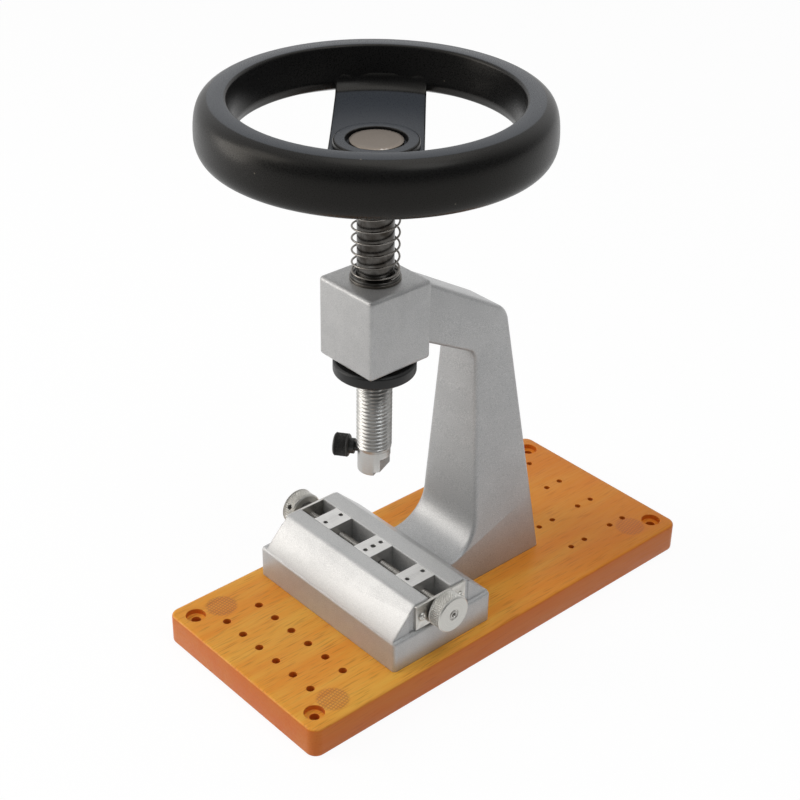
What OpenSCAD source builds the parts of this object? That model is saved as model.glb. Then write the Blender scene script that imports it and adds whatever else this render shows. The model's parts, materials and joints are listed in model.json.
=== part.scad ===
// Bench watch case opener. A handwheel turns and presses a spring-returned spindle over a self-centring
// vise, both carried by one casting that is screwed to a wooden board with rows of holes for the dies.
// +Y runs along the board from the operator to the column, +X to the operator's right and +Z up.
// The origin is the centre of the board's underside. Sizes are in millimetres.

/* [Board] */
// Length of the board
board_l = 270; // [250:1:320]
// Width of the board
board_w = 122.6; // [118:0.2:160]
// Thickness of the board
board_t = 17.5; // [15:0.5:25]
// Radius of the board's upright corners
board_corner_r = 6; // [3:0.5:10]
// Radius of the board's top and bottom edges
board_edge_r = 1.6; // [0.5:0.1:2.5]

/* [Bench screw holes] */
// Diameter of the four corner holes
corner_hole_d = 5; // [3:0.5:7]
// Diameter of their counterbores
corner_seat_d = 10.5; // [8:0.5:13]
// Depth of their counterbores
corner_seat_h = 3; // [1.5:0.5:6]
// Distance of the corner holes from the long edges
corner_inset_x = 11.8; // [9:0.1:16]
// Distance of the corner holes from the short edges
corner_inset_y = 10; // [9:0.5:16]

/* [Die storage holes] */
// Diameter of the front holes
front_hole_d = 4.2; // [2:0.1:6]
// Distance between the front holes across the board
front_pitch = 13.9; // [10:0.1:16]
// Front holes in a row
front_cols = 6; // [2:1:6]
// Distance of the first front row from the front edge
front_row_in = 19.5; // [18:0.5:24]
// Distance between the two front rows
front_row_gap = 21; // [10:0.5:24]
// Diameter of the rear holes
rear_hole_d = 3.2; // [2:0.1:5]
// Distance between the rear holes across the board
rear_pitch = 25; // [18:0.5:28]
// Rear holes in a row
rear_cols = 4; // [2:1:4]
// Distance of the first rear row from the rear edge
rear_row_in = 21; // [19:0.5:26]
// Distance between the two holes of a rear pair
rear_pair_gap = 10.8; // [7:0.1:14]
// Distance between the rear pairs along the board
rear_row_gap = 32.3; // [20:0.1:36]
// Depth of all storage holes
storage_h = 11; // [5:0.5:13]

/* [Head] */
// Distance of the spindle's axis from the board's front edge
spindle_in = 90.5; // [86:0.5:110]
// Side of the square head
head_w = 38.6; // [34:0.1:44]
// Height of the head
head_h = 42.4; // [36:0.1:50]
// Clear height between the board and the head
head_clear = 149.5; // [135:0.1:190]
// Radius of the head's edges
head_r = 2; // [1:0.5:5]

/* [Arm and column] */
// Width of the arm
arm_w = 26; // [22:0.5:30]
// Height of the arm where it leaves the head
arm_h = 33.6; // [28:0.1:36]
// Step from the head's top down to the arm
arm_step = 3; // [1.5:0.1:4]
// Fall of the arm's top, in degrees
arm_top_fall = 30.4; // [26:0.1:32]
// Fall of the arm's underside, in degrees
arm_under_fall = 27.6; // [24:0.1:30]
// Distance of the column's front from the spindle's axis, at the arm
column_reach = 56.9; // [52:0.1:66]
// Forward lean of the column's front, in degrees
column_front_lean = 1.5; // [0:0.1:4]
// Distance of the foot's rear from the spindle's axis
foot_reach = 102.8; // [98:0.1:110]
// Lean of the column's rear, in degrees
column_rear_lean = 8.6; // [6:0.1:10]
// Width of the foot at the board
foot_w = 48; // [42:0.1:54]
// Draft of each side of the column, in degrees
side_draft = 4.3; // [2:0.05:5]
// Radius of the hollow curve at the foot
foot_r = 20; // [10:0.5:22]
// Radius of the inner bend under the arm
bend_in_r = 8; // [4:0.5:12]
// Radius of the outer bend over the column
bend_out_r = 14; // [8:0.5:20]
// Radius of the column's front edges
front_edge_r = 2.5; // [2:0.5:6]
// Radius of the column's rear edges
rear_edge_r = 2.5; // [1.5:0.5:5]

/* [Vise body] */
// Length of the plinth, across the board
plinth_l = 109.4; // [106:0.1:118]
// Shift of the plinth to the operator's left
plinth_left = 1.2; // [0:0.1:2]
// Width of the plinth, along the board
plinth_w = 67; // [63:0.5:74]
// Shift of the plinth towards the column
plinth_back = 1.5; // [0:0.1:2]
// Height of the plinth
plinth_h = 18.5; // [15:0.5:24]
// Radius of the plinth's edges
plinth_r = 2; // [1:0.5:3]
// Height of the vise above the plinth
vise_h = 16; // [14:0.5:18]
// Width of the vise's flat top
vise_top_w = 34; // [28:1:38]
// Shift of that flat top towards the column
vise_top_back = 0.5; // [0:0.1:1]
// Ledge of the plinth in front of and behind the vise
vise_ledge = 0.6; // [0.3:0.1:2]
// Radius of the vise's top edges
vise_edge_r = 3; // [1:0.5:5]
// Width of the slot for the jaws
slot_w = 15.6; // [14:0.2:20]

/* [Vise mechanism] */
// Depth of the leadscrew's axis below the top
leadscrew_drop = 8.2; // [7:0.1:9]
// Diameter of the leadscrew's threads
leadscrew_d = 5.5; // [5:0.1:6.5]
// Diameter of the leadscrew's journals
journal_d = 4.5; // [3:0.1:4.8]
// Length of a jaw and of the centre block
jaw_l = 13; // [10:0.5:16]
// Distance of a jaw's middle from the vise's middle
jaw_at = 32.8; // [26:0.1:36]
// Diameter of the pin holes
pin_hole_d = 2.4; // [1.5:0.1:2.6]
// Distance between the two pin holes of a jaw
pin_gap = 10.6; // [8:0.1:11.5]
// Depth of the pin holes
pin_hole_h = 4; // [2:0.5:4.5]
// Diameter of the middle hole of the centre block
middle_hole_d = 2.8; // [2:0.1:3.5]
// Width of the milled flat round an end plate
plate_flat_w = 40.6; // [40:0.2:44]
// Depth of that milled flat
plate_flat_h = 0.4; // [0.2:0.1:0.8]
// Width of an end plate
plate_w = 34; // [30:0.5:40]
// Height of an end plate
plate_h = 14.6; // [12:0.2:15.4]
// Thickness of an end plate
plate_t = 1.6; // [1:0.1:3]
// Distance between the two screws of an end plate
plate_screw_gap = 26; // [22:0.5:28]
// Diameter of the end plate screws
plate_screw_d = 2.5; // [2:0.5:3]
// Length of an end plate screw under its head
plate_screw_l = 7; // [4:0.5:9]
// Diameter of a knob
knob_d = 20.4; // [16:0.2:22]
// Length of a knob
knob_l = 8.6; // [6:0.2:12]
// Diameter of the washer behind a knob
knob_washer_d = 12; // [8:0.5:14]
// Thickness of the washer behind a knob
knob_washer_t = 1; // [0.6:0.1:2]
// Gap between a knob and the plinth's end
knob_gap = 0.3; // [0.2:0.1:2]

/* [Spindle] */
// Diameter of the spindle and of its thread
spindle_d = 18; // [16:0.2:20]
// Reach of the stem below the head
stem_reach = 65.3; // [60:0.1:72]
// Reach of the thread below the head
thread_reach = 52.4; // [48:0.1:56]
// Diameter of the stem's plain end
stem_end_d = 16.8; // [15.5:0.1:17.4]
// Height of the thread above the head's underside
stem_top = 6; // [4:0.5:12]
// Diameter of the stud that joins stem and spindle
stud_d = 10; // [8:0.5:12]
// Length of that stud
stud_l = 14; // [10:1:20]
// Diameter of the die socket
socket_d = 10; // [8:0.5:11]
// Depth of the die socket
socket_h = 22; // [16:0.5:26]
// Depth of the flat on the stem's end
stem_flat_h = 2.16; // [1:0.02:2.6]
// Length of the flat on the stem's end
stem_flat_l = 9.2; // [5:0.1:11]
// Height of the notch in the stem's end
notch_h = 2; // [1:0.1:3]

/* [Bushes] */
// Outer diameter of the bushes
bush_d = 22.4; // [21.5:0.1:24.5]
// Length of each bush in the head
bush_l = 14; // [10:0.5:17]
// Diameter of the upper bush's flange
flange_d = 25; // [24.8:0.1:30]
// Thickness of the upper bush's flange
flange_t = 1.5; // [0.6:0.1:2]

/* [Stop nut] */
// Diameter of the stop nut
nut_d = 41.4; // [36:0.1:48]
// Height of the stop nut
nut_h = 6.8; // [5:0.1:10]
// Diameter of the fibre washer above the nut
stop_washer_d = 34; // [28:0.5:36]
// Thickness of the fibre washer
stop_washer_t = 1.3; // [0.8:0.1:2]

/* [Thumb screw] */
// Diameter of the thumb screw's head
thumb_head_d = 12; // [9:0.5:14]
// Length of the thumb screw's head
thumb_head_l = 8; // [6:0.5:12]
// Diameter of the thumb screw's thread
thumb_d = 4.8; // [4:0.1:6]
// Distance of the head from the spindle's axis
thumb_head_at = 12.6; // [11.5:0.1:15]
// Height of the thumb screw above the stem's end
thumb_up = 11.3; // [9:0.1:12]
// Bearing of the thumb screw round the spindle, in degrees
thumb_turn = 217; // [200:1:240]

/* [Return spring] */
// Length of the spring as fitted
spring_l = 42.4; // [36:0.1:60]
// Outer diameter of the spring
spring_d = 23.6; // [21:0.1:24]
// Diameter of the spring's wire
wire_d = 1; // [0.6:0.1:1.2]
// Curls of the spring
curls = 8.25; // [6:0.25:9]
// Diameter of the washer under the spring
low_seat_d = 24.2; // [24:0.1:26]
// Thickness of the washer under the spring
low_seat_t = 1.2; // [0.8:0.1:2]
// Diameter of the washer over the spring
top_seat_d = 27; // [24:0.5:30]
// Thickness of the washer over the spring
top_seat_t = 1.5; // [1:0.1:2.5]

/* [Handwheel] */
// Diameter of the handwheel
wheel_d = 165; // [150:1:180]
// Height of the rim
rim_h = 25.8; // [22:0.2:32]
// Width of the rim's flat top face
rim_flat = 8.3; // [6:0.1:9]
// Bulge of the rim outside its flat top face
rim_bulge = 7; // [4:0.1:9]
// Draw-in of the rim's inner wall from top to bottom
rim_draw = 2.8; // [1:0.1:4]
// Height of the rim's top above the hub's
rim_rise = 21; // [16:0.1:26]
// Width of the web
web_w = 44; // [40:1:52]
// Thickness of the web
web_t = 5.5; // [4:0.1:8]
// Depth of the web below the hub's top, at the hub
web_drop = 3.6; // [2:0.1:4]
// Rise of the web from the hub to the rim
web_rise = 4.4; // [2:0.1:6]
// Bearing of the web, in degrees
web_turn = 137; // [0:1:180]
// Diameter of the hub
hub_d = 40.2; // [38:0.2:42]
// Height of the hub
hub_h = 24; // [23:0.2:32]
// Diameter of the boss under the hub
boss_d = 34; // [30:0.5:36]
// Diameter of the recess round the cap
recess_d = 28.4; // [27.5:0.1:32]
// Depth of the recess
recess_h = 3; // [2:0.1:4]
// Diameter of the hub cap
cap_d = 25.4; // [22.5:0.1:27]
// Diameter of the cap's plug
plug_d = 20; // [18:0.5:22]
// Diameter of the spindle's tail in the hub
tail_d = 12; // [10.5:0.5:14]
// Height of the hub's bore round the tail
tail_h = 12; // [10:0.5:14]
// Diameter of the pin that drives the wheel
wheel_pin_d = 4; // [3:0.5:5]
// Diameter of the bolt that holds the wheel
wheel_bolt_d = 6; // [5:0.5:7]

/* [Fastening of the casting] */
// Diameter of the frame screws
frame_screw_d = 6; // [5:0.5:8]
// Depth of their counterbores under the board
frame_seat_h = 7.5; // [7:0.5:9]
// Reach of the screws in the casting
frame_screw_reach = 10; // [8:0.5:12]
// Distance between the two screws in the plinth
plinth_screw_gap = 76; // [60:1:84]
// Distance between the two screws in the foot
foot_screw_gap = 22; // [16:0.5:26]
// Distance of the foot's screws from the spindle's axis
foot_screw_in = 78; // [70:1:86]

/* [Clearances] */
// Radial clearance of shafts in their bushes
run_clear = 0.05; // [0.02:0.01:0.1]
// Radial gap round the bushes, which are bonded in the head
bond_gap = 0.03; // [0.02:0.01:0.1]
// Side clearance of the jaws in their slot
slide_clear = 0.1; // [0.05:0.05:0.2]
// Gap between the stop washer and the head
stop_gap = 0.1; // [0.05:0.05:0.3]
// End play of the leadscrew at each end plate
end_play = 0.1; // [0.05:0.05:0.3]
// Radial clearance of screws in plain holes
screw_clear = 0.3; // [0.2:0.1:0.6]

/* [Hidden] */

ROUND = 96;   // steps of a turned surface
SOFT = 32;    // steps of a rounding ball
EPS = 0.01;   // overlap of two cuts that meet

// Heights above the board's underside
plinth_top = board_t + plinth_h;
vise_top = plinth_top + vise_h;
head_bottom = board_t + head_clear;
head_top = head_bottom + head_h;
flange_top = head_top + flange_t;
spring_bottom = flange_top + low_seat_t;
spring_top = spring_bottom + spring_l;
hub_bottom = spring_top + top_seat_t;
hub_top = hub_bottom + hub_h;
rim_top = hub_top + rim_rise;
leadscrew_z = vise_top - leadscrew_drop;
stem_bottom = head_bottom - stem_reach;
thread_bottom = head_bottom - thread_reach;
stem_joint = head_bottom + stem_top;
washer_top = head_bottom - stop_gap;
nut_top = washer_top - stop_washer_t;
nut_bottom = nut_top - nut_h;
thumb_z = stem_bottom + thumb_up;

// Places along the board
axis_y = spindle_in - board_l / 2;
head_rear = axis_y + head_w / 2;
foot_rear = axis_y + foot_reach;
plinth_rear = axis_y + plinth_back + plinth_w / 2;

// Ends of the vise, set back from the plinth so that the knobs clear it
knob_in = plinth_l / 2 - plinth_left + knob_gap;
left_knob_in = plinth_l / 2 + plinth_left + knob_gap;
knob_out = knob_in + knob_l;
left_knob_out = left_knob_in + knob_l;
washer_in = knob_in - knob_washer_t;
plate_out = washer_in - end_play;
vise_end = plate_out - plate_t;
vise_l = 2 * (vise_end + plate_flat_h);

// Points of a round corner at c, of radius r, from direction a to direction b, both unit vectors
function turned(v, g) = [v[0] * cos(g) - v[1] * sin(g), v[0] * sin(g) + v[1] * cos(g)];
function corner(c, a, b, r, steps = 6) =
    let (side = a[0] * b[1] - a[1] * b[0] > 0 ? 1 : -1,
         turn = acos(a * b),
         start = c - a * r * tan(turn / 2),
         middle = start + turned(a, 90 * side) * r)
    [for (i = [0:steps]) middle + turned(start - middle, side * turn * i / steps)];
function unit(v) = v / norm(v);
function flat(rows) = [for (row = rows) each row];

// Closed solid through a list of rings, each with the same number of points
module loft(rings) {
    n = len(rings[0]);
    m = len(rings);
    sides = [for (i = [0:m - 2], j = [0:n - 1], half = [0, 1])
        let (k = (j + 1) % n)
        half == 0 ? [i * n + j, (i + 1) * n + k, i * n + k]
                  : [i * n + j, (i + 1) * n + j, (i + 1) * n + k]];
    first = [for (j = [0:n - 1]) j];
    last = [for (j = [n - 1:-1:0]) (m - 1) * n + j];
    polyhedron(flat(rings), concat([first], sides, [last]));
}

// Four solids at the corners of a rectangle
module at_corners(gap_x, gap_y) {
    for (sx = [-1, 1], sy = [-1, 1]) translate([sx * gap_x / 2, sy * gap_y / 2, 0]) children();
}

// Places of the screws that hold the casting on the board
module at_frame_screws() {
    for (sx = [-1, 1]) {
        translate([sx * plinth_screw_gap / 2, axis_y, 0]) children();
        translate([sx * foot_screw_gap / 2, axis_y + foot_screw_in, 0]) children();
    }
}

// Places of the screws in the end plates, pointing out of each end of the vise
module at_plate_screws() {
    for (end = [-1, 1], side = [-1, 1])
        translate([end * vise_end, axis_y + side * plate_screw_gap / 2, leadscrew_z])
            rotate([0, end * 90, 0]) children();
}

// Turned profile, given as [radius, height] points, on the spindle's axis
module turned_part(profile) {
    translate([0, axis_y, 0]) rotate_extrude($fn = ROUND) polygon(profile);
}

// Flat ring on the spindle's axis
module ring(outer, inner, bottom, height) {
    turned_part([[inner / 2, bottom], [outer / 2, bottom], [outer / 2, bottom + height],
                 [inner / 2, bottom + height]]);
}

// Board
frame_seat_d = 2 * frame_screw_d;
frame_head_h = frame_screw_d - 1;
frame_washer_t = 1.2;
front_rows = [front_row_in, front_row_in + front_row_gap];
rear_rows = [rear_row_in, rear_row_in + rear_pair_gap, rear_row_in + rear_row_gap,
             rear_row_in + rear_row_gap + rear_pair_gap];

module rounded_slab() {
    low = board_edge_r;
    post_x = board_w - 2 * board_corner_r;
    post_y = board_l - 2 * board_corner_r;
    hull() at_corners(post_x, post_y) rotate_extrude($fn = SOFT) polygon(concat(
        [[0, 0]],
        corner([board_corner_r, 0], [1, 0], [0, 1], low, 4),
        corner([board_corner_r, board_t], [0, 1], [-1, 0], low, 4),
        [[0, board_t]]));
}

module storage_row(y, count, pitch, d) {
    for (i = [0:count - 1])
        translate([(i - (count - 1) / 2) * pitch, y, board_t - storage_h])
            cylinder(h = storage_h + 1, d = d, $fn = ROUND / 2);
}

module base_board() {
    color("peru") difference() {
        rounded_slab();
        at_corners(board_w - 2 * corner_inset_x, board_l - 2 * corner_inset_y) {
            translate([0, 0, -1]) cylinder(h = board_t + 2, d = corner_hole_d, $fn = ROUND / 2);
            translate([0, 0, board_t - corner_seat_h])
                cylinder(h = corner_seat_h + 1, d = corner_seat_d, $fn = ROUND / 2);
        }
        for (row = front_rows) storage_row(row - board_l / 2, front_cols, front_pitch, front_hole_d);
        for (row = rear_rows) storage_row(board_l / 2 - row, rear_cols, rear_pitch, rear_hole_d);
        at_frame_screws() {
            translate([0, 0, -1]) cylinder(h = frame_seat_h + 1, d = frame_seat_d, $fn = ROUND / 2);
            translate([0, 0, -1])
                cylinder(h = board_t + 2, d = frame_screw_d + 2 * screw_clear, $fn = ROUND / 2);
        }
    }
}

module frame_screws() {
    head_at = frame_seat_h - frame_washer_t - frame_head_h;
    key_d = frame_screw_d * 0.95;
    color("dimgray") at_frame_screws() difference() {
        union() {
            translate([0, 0, head_at]) cylinder(h = frame_head_h, d = frame_seat_d - 2, $fn = ROUND / 2);
            translate([0, 0, head_at])
                cylinder(h = board_t + frame_screw_reach - head_at, d = frame_screw_d, $fn = ROUND / 2);
        }
        translate([0, 0, head_at - 1]) cylinder(h = frame_head_h / 2 + 1, d = key_d, $fn = 6);
    }
}

module frame_washers() {
    color("silver") at_frame_screws() translate([0, 0, frame_seat_h - frame_washer_t]) difference() {
        cylinder(h = frame_washer_t, d = frame_seat_d - 1, $fn = ROUND / 2);
        translate([0, 0, -1])
            cylinder(h = frame_washer_t + 2, d = frame_screw_d + screw_clear, $fn = ROUND / 2);
    }
}

// Casting: head, arm, column, foot and vise body in one piece
arm_bite = 2.5;                                   // reach of the arm into the head
foot_bite = 6;                                    // reach of the foot into the plinth
foot_floor = plinth_top - 0.3;                    // top of the foot where it meets the plinth
arm_top_z = head_top - arm_step;
arm_under_z = arm_top_z - arm_h;
bend_in = [axis_y + column_reach, arm_under_z - tan(arm_under_fall) * (axis_y + column_reach - head_rear)];
top_dir = [-cos(arm_top_fall), sin(arm_top_fall)];
under_dir = [-cos(arm_under_fall), sin(arm_under_fall)];
front_dir = [sin(column_front_lean), cos(column_front_lean)];
rear_dir = [-sin(column_rear_lean), cos(column_rear_lean)];

// Where the column's rear meets the arm's top
rear_slope = tan(column_rear_lean);
top_slope = tan(arm_top_fall);
bend_out_z = (arm_top_z - top_slope * (foot_rear + rear_slope * board_t - head_rear))
    / (1 - top_slope * rear_slope);
bend_out = [foot_rear - rear_slope * (bend_out_z - board_t), bend_out_z];

function column_front(z) = bend_in[0] - tan(column_front_lean) * (bend_in[1] - z);
function column_rear(z) = foot_rear - rear_slope * (z - board_t);
function half_width(z) = max(arm_w / 2, foot_w / 2 - tan(side_draft) * (z - board_t));

// The front runs from inside the plinth up the foot's hollow curve, the column and the arm's underside.
// The rear runs beside it from the board up the column and along the arm's top.
foot_corner = [column_front(foot_floor), foot_floor];
FOOT_STEPS = 8;
BEND_STEPS = 6;
front_line = concat(
    [[plinth_rear - foot_bite, board_t], [plinth_rear - foot_bite, foot_floor - 2 * EPS]],
    corner(foot_corner, [1, 0], front_dir, foot_r, FOOT_STEPS),
    corner(bend_in, front_dir, under_dir, bend_in_r, BEND_STEPS),
    [bend_in + under_dir * (bend_in[0] - head_rear + arm_bite) / cos(arm_under_fall)]);
rear_bend = corner(bend_out, rear_dir, top_dir, bend_out_r, BEND_STEPS);
foot_rise = (rear_bend[0][1] - board_t) * 0.35;
rear_line = concat(
    [for (i = [0:FOOT_STEPS + 2])
        let (z = board_t + foot_rise * i / (FOOT_STEPS + 2)) [column_rear(z), z]],
    rear_bend,
    [bend_out + top_dir * (bend_out[0] - head_rear + arm_bite) / cos(arm_top_fall)]);

// One ring of the loft: a rounded oblong from the front point f to the rear point b
function quarter(r, from) = [for (i = [0:4]) let (g = from + 90 * i / 4) [r * (1 - cos(g)), r * sin(g)]];
function oblong(f, b) =
    let (deep = norm(b - f),
         along = unit(b - f),
         front = [for (q = quarter(front_edge_r, -90)) [q[0], front_edge_r + q[1]]],
         rear = [for (q = quarter(rear_edge_r, 0)) [q[0], deep - rear_edge_r + q[1]]],
         right = concat(front, rear),
         count = len(right))
    [for (i = [0:2 * count - 1])
        let (p = i < count ? right[i] : right[2 * count - 1 - i],
             at = f + along * p[1],
             side = i < count ? 1 : -1)
        [side * (half_width(at[1]) - p[0]), at[0], at[1]]];

module arm_and_column() {
    loft([for (i = [0:len(front_line) - 1]) oblong(front_line[i], rear_line[i])]);
}

module head_block() {
    hull() translate([0, axis_y, 0]) for (z = [head_bottom + head_r, head_top - head_r])
        translate([0, 0, z]) at_corners(head_w - 2 * head_r, head_w - 2 * head_r)
            sphere(r = head_r, $fn = SOFT);
}

module plinth() {
    post_x = plinth_l - 2 * plinth_r;
    post_y = plinth_w - 2 * plinth_r;
    hull() translate([-plinth_left, axis_y + plinth_back, board_t]) at_corners(post_x, post_y) {
        cylinder(h = plinth_h - plinth_r, r = plinth_r, $fn = SOFT);
        translate([0, 0, plinth_h - plinth_r]) sphere(r = plinth_r, $fn = SOFT);
    }
}

// Outline of one side of the ridge, from its foot at foot_half to its top edge at top_half
function flank(foot_half, top_half) =
    let (sunk = 1, slope = unit([foot_half - top_half, vise_h]))
    concat([[foot_half, -sunk]], [[foot_half, 0]],
        corner([top_half, vise_h], [-slope[0], slope[1]], [-1, 0], vise_edge_r, 5));

// Ridge with sloping front and rear that holds the slot for the jaws
module vise_ridge() {
    rear = flank(plinth_w / 2 + plinth_back - vise_ledge, vise_top_w / 2 + vise_top_back);
    front = flank(plinth_w / 2 - plinth_back - vise_ledge, vise_top_w / 2 - vise_top_back);
    mirrored = [for (i = [len(front) - 1:-1:0]) [-front[i][0], front[i][1]]];
    translate([-vise_l / 2, axis_y, plinth_top]) rotate([90, 0, 90])
        linear_extrude(height = vise_l) polygon(concat(rear, mirrored));
}

module frame_casting() {
    color("silver") difference() {
        union() {
            head_block();
            arm_and_column();
            plinth();
            vise_ridge();
        }
        translate([0, axis_y, head_bottom - 1]) cylinder(h = head_h + 2, d = bush_d + 2 * bond_gap, $fn = ROUND);
        translate([-plinth_l, axis_y - slot_w / 2, plinth_top]) cube([2 * plinth_l, slot_w, vise_h + 1]);
        for (end = [-1, 1]) translate([end * (vise_end + 1), axis_y, plinth_top + vise_h / 2])
            cube([2, plate_flat_w, vise_h + EPS], center = true);
        at_plate_screws() translate([0, 0, plate_t - plate_screw_l])
            cylinder(h = plate_screw_l, d = plate_screw_d, $fn = ROUND / 2);
        at_frame_screws() translate([0, 0, board_t - 1])
            cylinder(h = frame_screw_reach + 1, d = frame_screw_d, $fn = ROUND / 2);
    }
}

// Bushes and spring seats
spindle_hole_d = spindle_d + 2 * run_clear;

module upper_bush() {
    color("dimgray") turned_part([[spindle_hole_d / 2, head_top - bush_l], [bush_d / 2, head_top - bush_l],
        [bush_d / 2, head_top], [flange_d / 2, head_top], [flange_d / 2, flange_top],
        [spindle_hole_d / 2, flange_top]]);
}

module lower_bush() {
    color("dimgray") ring(bush_d, spindle_hole_d, head_bottom, bush_l);
}

module lower_spring_seat() {
    color("dimgray") ring(low_seat_d, spindle_d + 2 * screw_clear, flange_top, low_seat_t);
}

module upper_spring_seat() {
    color("dimgray") ring(top_seat_d, tail_d + 2 * screw_clear, spring_top, top_seat_t);
}

// Return spring: one wire with closed end curls, its two ends turned square onto their seats
SIDES = 6;
PER_CURL = 8;
end_rise = wire_d + 0.5;                          // rise of a closed end curl
spring_r = (spring_d - wire_d) / 2;
wire_rings = round(curls * PER_CURL);
wire_rise = spring_l - 2 * wire_d;
open_rise = (wire_rise - 2 * end_rise) / (curls - 2);
function rise_at(c) = c < 1 ? end_rise * c
    : c < curls - 1 ? end_rise + open_rise * (c - 1)
    : wire_rise - end_rise * (curls - c);
function wire_at(i) =
    let (c = i / PER_CURL, g = 360 * c + spring_phase)
    [spring_r * cos(g), spring_r * sin(g), wire_d + rise_at(c)];
spring_phase = 0;
wire_path = concat([[wire_at(0)[0], wire_at(0)[1], 0]], [for (i = [0:wire_rings]) wire_at(i)],
    [[wire_at(wire_rings)[0], wire_at(wire_rings)[1], spring_l]]);
last_ring = len(wire_path) - 1;
function wire_dir(i) = i == 0 || i == last_ring ? [0, 0, 1] : unit(wire_path[i + 1] - wire_path[i - 1]);
function wire_ring(i) =
    let (p = wire_path[i], out = unit([p[0], p[1], 0]), dir = wire_dir(i),
         flatwise = unit(out - dir * (out * dir)), across = cross(dir, flatwise))
    [for (k = [0:SIDES - 1])
        let (g = 360 * k / SIDES) p + (flatwise * cos(g) + across * sin(g)) * wire_d / 2];
wire_gap = min([for (i = [0:wire_rings - PER_CURL + 2], j = [i + PER_CURL - 2:min(i + PER_CURL + 2, wire_rings)])
    norm(wire_at(i) - wire_at(j))]) - wire_d;
echo(least_gap_of_spring = wire_gap);

module return_spring() {
    color("darkslategray") translate([0, axis_y, spring_bottom])
        loft([for (i = [0:last_ring]) wire_ring(i)]);
}

// Handwheel: a bulging rim, a dished web right across it and a hub
wheel_r = wheel_d / 2;
crease_r = wheel_r - rim_bulge;
rim_inner = crease_r - rim_flat;
widest_at = rim_h * 0.65;                         // depth of the widest circle below the rim's top
rim_foot = 5.3;                                   // draw-in of the rim's outer wall at its foot
lip_h = 4;                                        // height of the lip at the foot of the inner wall
bulge_steps = 9;

// The outer wall leaves the flat top with a crease and bends down to its widest circle
rim_shoulder = [crease_r + rim_bulge * 0.63, rim_top - widest_at * 0.105];
rim_flank = [wheel_r, rim_top - widest_at * 0.26];
function cubic(a, b, c, d, t) =
    a * pow(1 - t, 3) + 3 * b * t * pow(1 - t, 2) + 3 * c * t * t * (1 - t) + d * pow(t, 3);

rim_profile = concat(
    corner([rim_inner, rim_top], unit([rim_draw, rim_h * 0.66]), [1, 0], 1.2, 3),
    [for (i = [0:bulge_steps]) cubic([crease_r, rim_top], rim_shoulder, rim_flank,
        [wheel_r, rim_top - widest_at], i / bulge_steps)],
    [for (i = [1:5])
        let (g = 90 * i / 5)
        [wheel_r - rim_foot * (1 - cos(g)), rim_top - widest_at - (rim_h - widest_at) * sin(g)]],
    [[rim_inner - rim_draw + 1.5, rim_top - rim_h * 0.66 - lip_h],
     [rim_inner - rim_draw, rim_top - rim_h * 0.66]]);

web_hub_z = hub_top - web_drop;
web_rim_z = web_hub_z + web_rise;
web_end = rim_inner;
web_root = rim_inner + 6;                         // reach of the web into the rim
web_root_z = rim_top - rim_h + 1.8;
upturn_r = 7.5;
web_corner = [web_end - 2.3, web_rim_z];
web_half = concat(
    [[0, web_hub_z - web_t], [hub_d / 2, web_hub_z - web_t], [web_root, web_root_z]],
    [[web_root, web_rim_z + upturn_r], [web_end, web_rim_z + upturn_r]],
    corner(web_corner, [0, -1], unit([hub_d / 2 - web_corner[0], web_hub_z - web_rim_z]), upturn_r, 4),
    [[hub_d / 2, web_hub_z], [0, web_hub_z]]);

module web() {
    intersection() {
        for (turn = [0, 180])
            translate([0, axis_y, 0]) rotate([0, 0, web_turn + turn]) rotate([90, 0, 0])
                linear_extrude(height = web_w, center = true) polygon(web_half);
        translate([0, axis_y, hub_bottom]) cylinder(h = rim_top - hub_bottom, r = web_root, $fn = ROUND);
    }
}

plug_top = hub_top - recess_h;
pocket_floor = hub_bottom + tail_h;
boss_draft = 1.5;
hub_profile = [[tail_d / 2, hub_bottom], [boss_d / 2 - boss_draft, hub_bottom],
    [boss_d / 2, web_hub_z - web_t], [hub_d / 2, web_hub_z - web_t + 1], [hub_d / 2, hub_top - 1],
    [hub_d / 2 - 0.4, hub_top - 0.3], [hub_d / 2 - 1, hub_top], [recess_d / 2, hub_top],
    [recess_d / 2, plug_top], [plug_d / 2, plug_top], [plug_d / 2, pocket_floor],
    [tail_d / 2, pocket_floor]];

module handwheel() {
    color([0.13, 0.13, 0.14]) difference() {
        union() {
            turned_part(rim_profile);
            difference() {
                web();
                translate([0, axis_y, hub_bottom]) cylinder(h = rim_top, d = hub_d - 4, $fn = ROUND);
            }
            turned_part(hub_profile);
        }
        wheel_pin_hole();
    }
}

// Cap that closes the hub: a disc on a hollow plug
cap_top = hub_top - 0.3;
cap_edge = 0.8;
module hub_cap() {
    plug_wall = 2;
    plug_l = 3;
    color("silver") turned_part([[0, plug_top], [plug_d / 2 - plug_wall, plug_top],
        [plug_d / 2 - plug_wall, plug_top - plug_l], [plug_d / 2, plug_top - plug_l], [plug_d / 2, plug_top],
        [cap_d / 2, plug_top], [cap_d / 2, cap_top - cap_edge], [cap_d / 2 - cap_edge, cap_top],
        [0, cap_top]]);
}

// Spindle: a ground shaft with a tail that carries the wheel and a bored foot that takes the stem
tail_gap = 0.4;
tail_top = pocket_floor - tail_gap;
pin_wall = 0.6;                                   // metal left over and under the pin
pin_z = hub_bottom + pin_wall + wheel_pin_d / 2;
bolt_bottom = pin_z + wheel_pin_d / 2 + pin_wall;
bolt_washer_t = 1.4;

module wheel_pin_hole() {
    translate([0, axis_y, pin_z]) rotate([0, 90, web_turn])
        cylinder(h = wheel_d / 2, d = wheel_pin_d, center = true, $fn = ROUND / 2);
}

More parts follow.
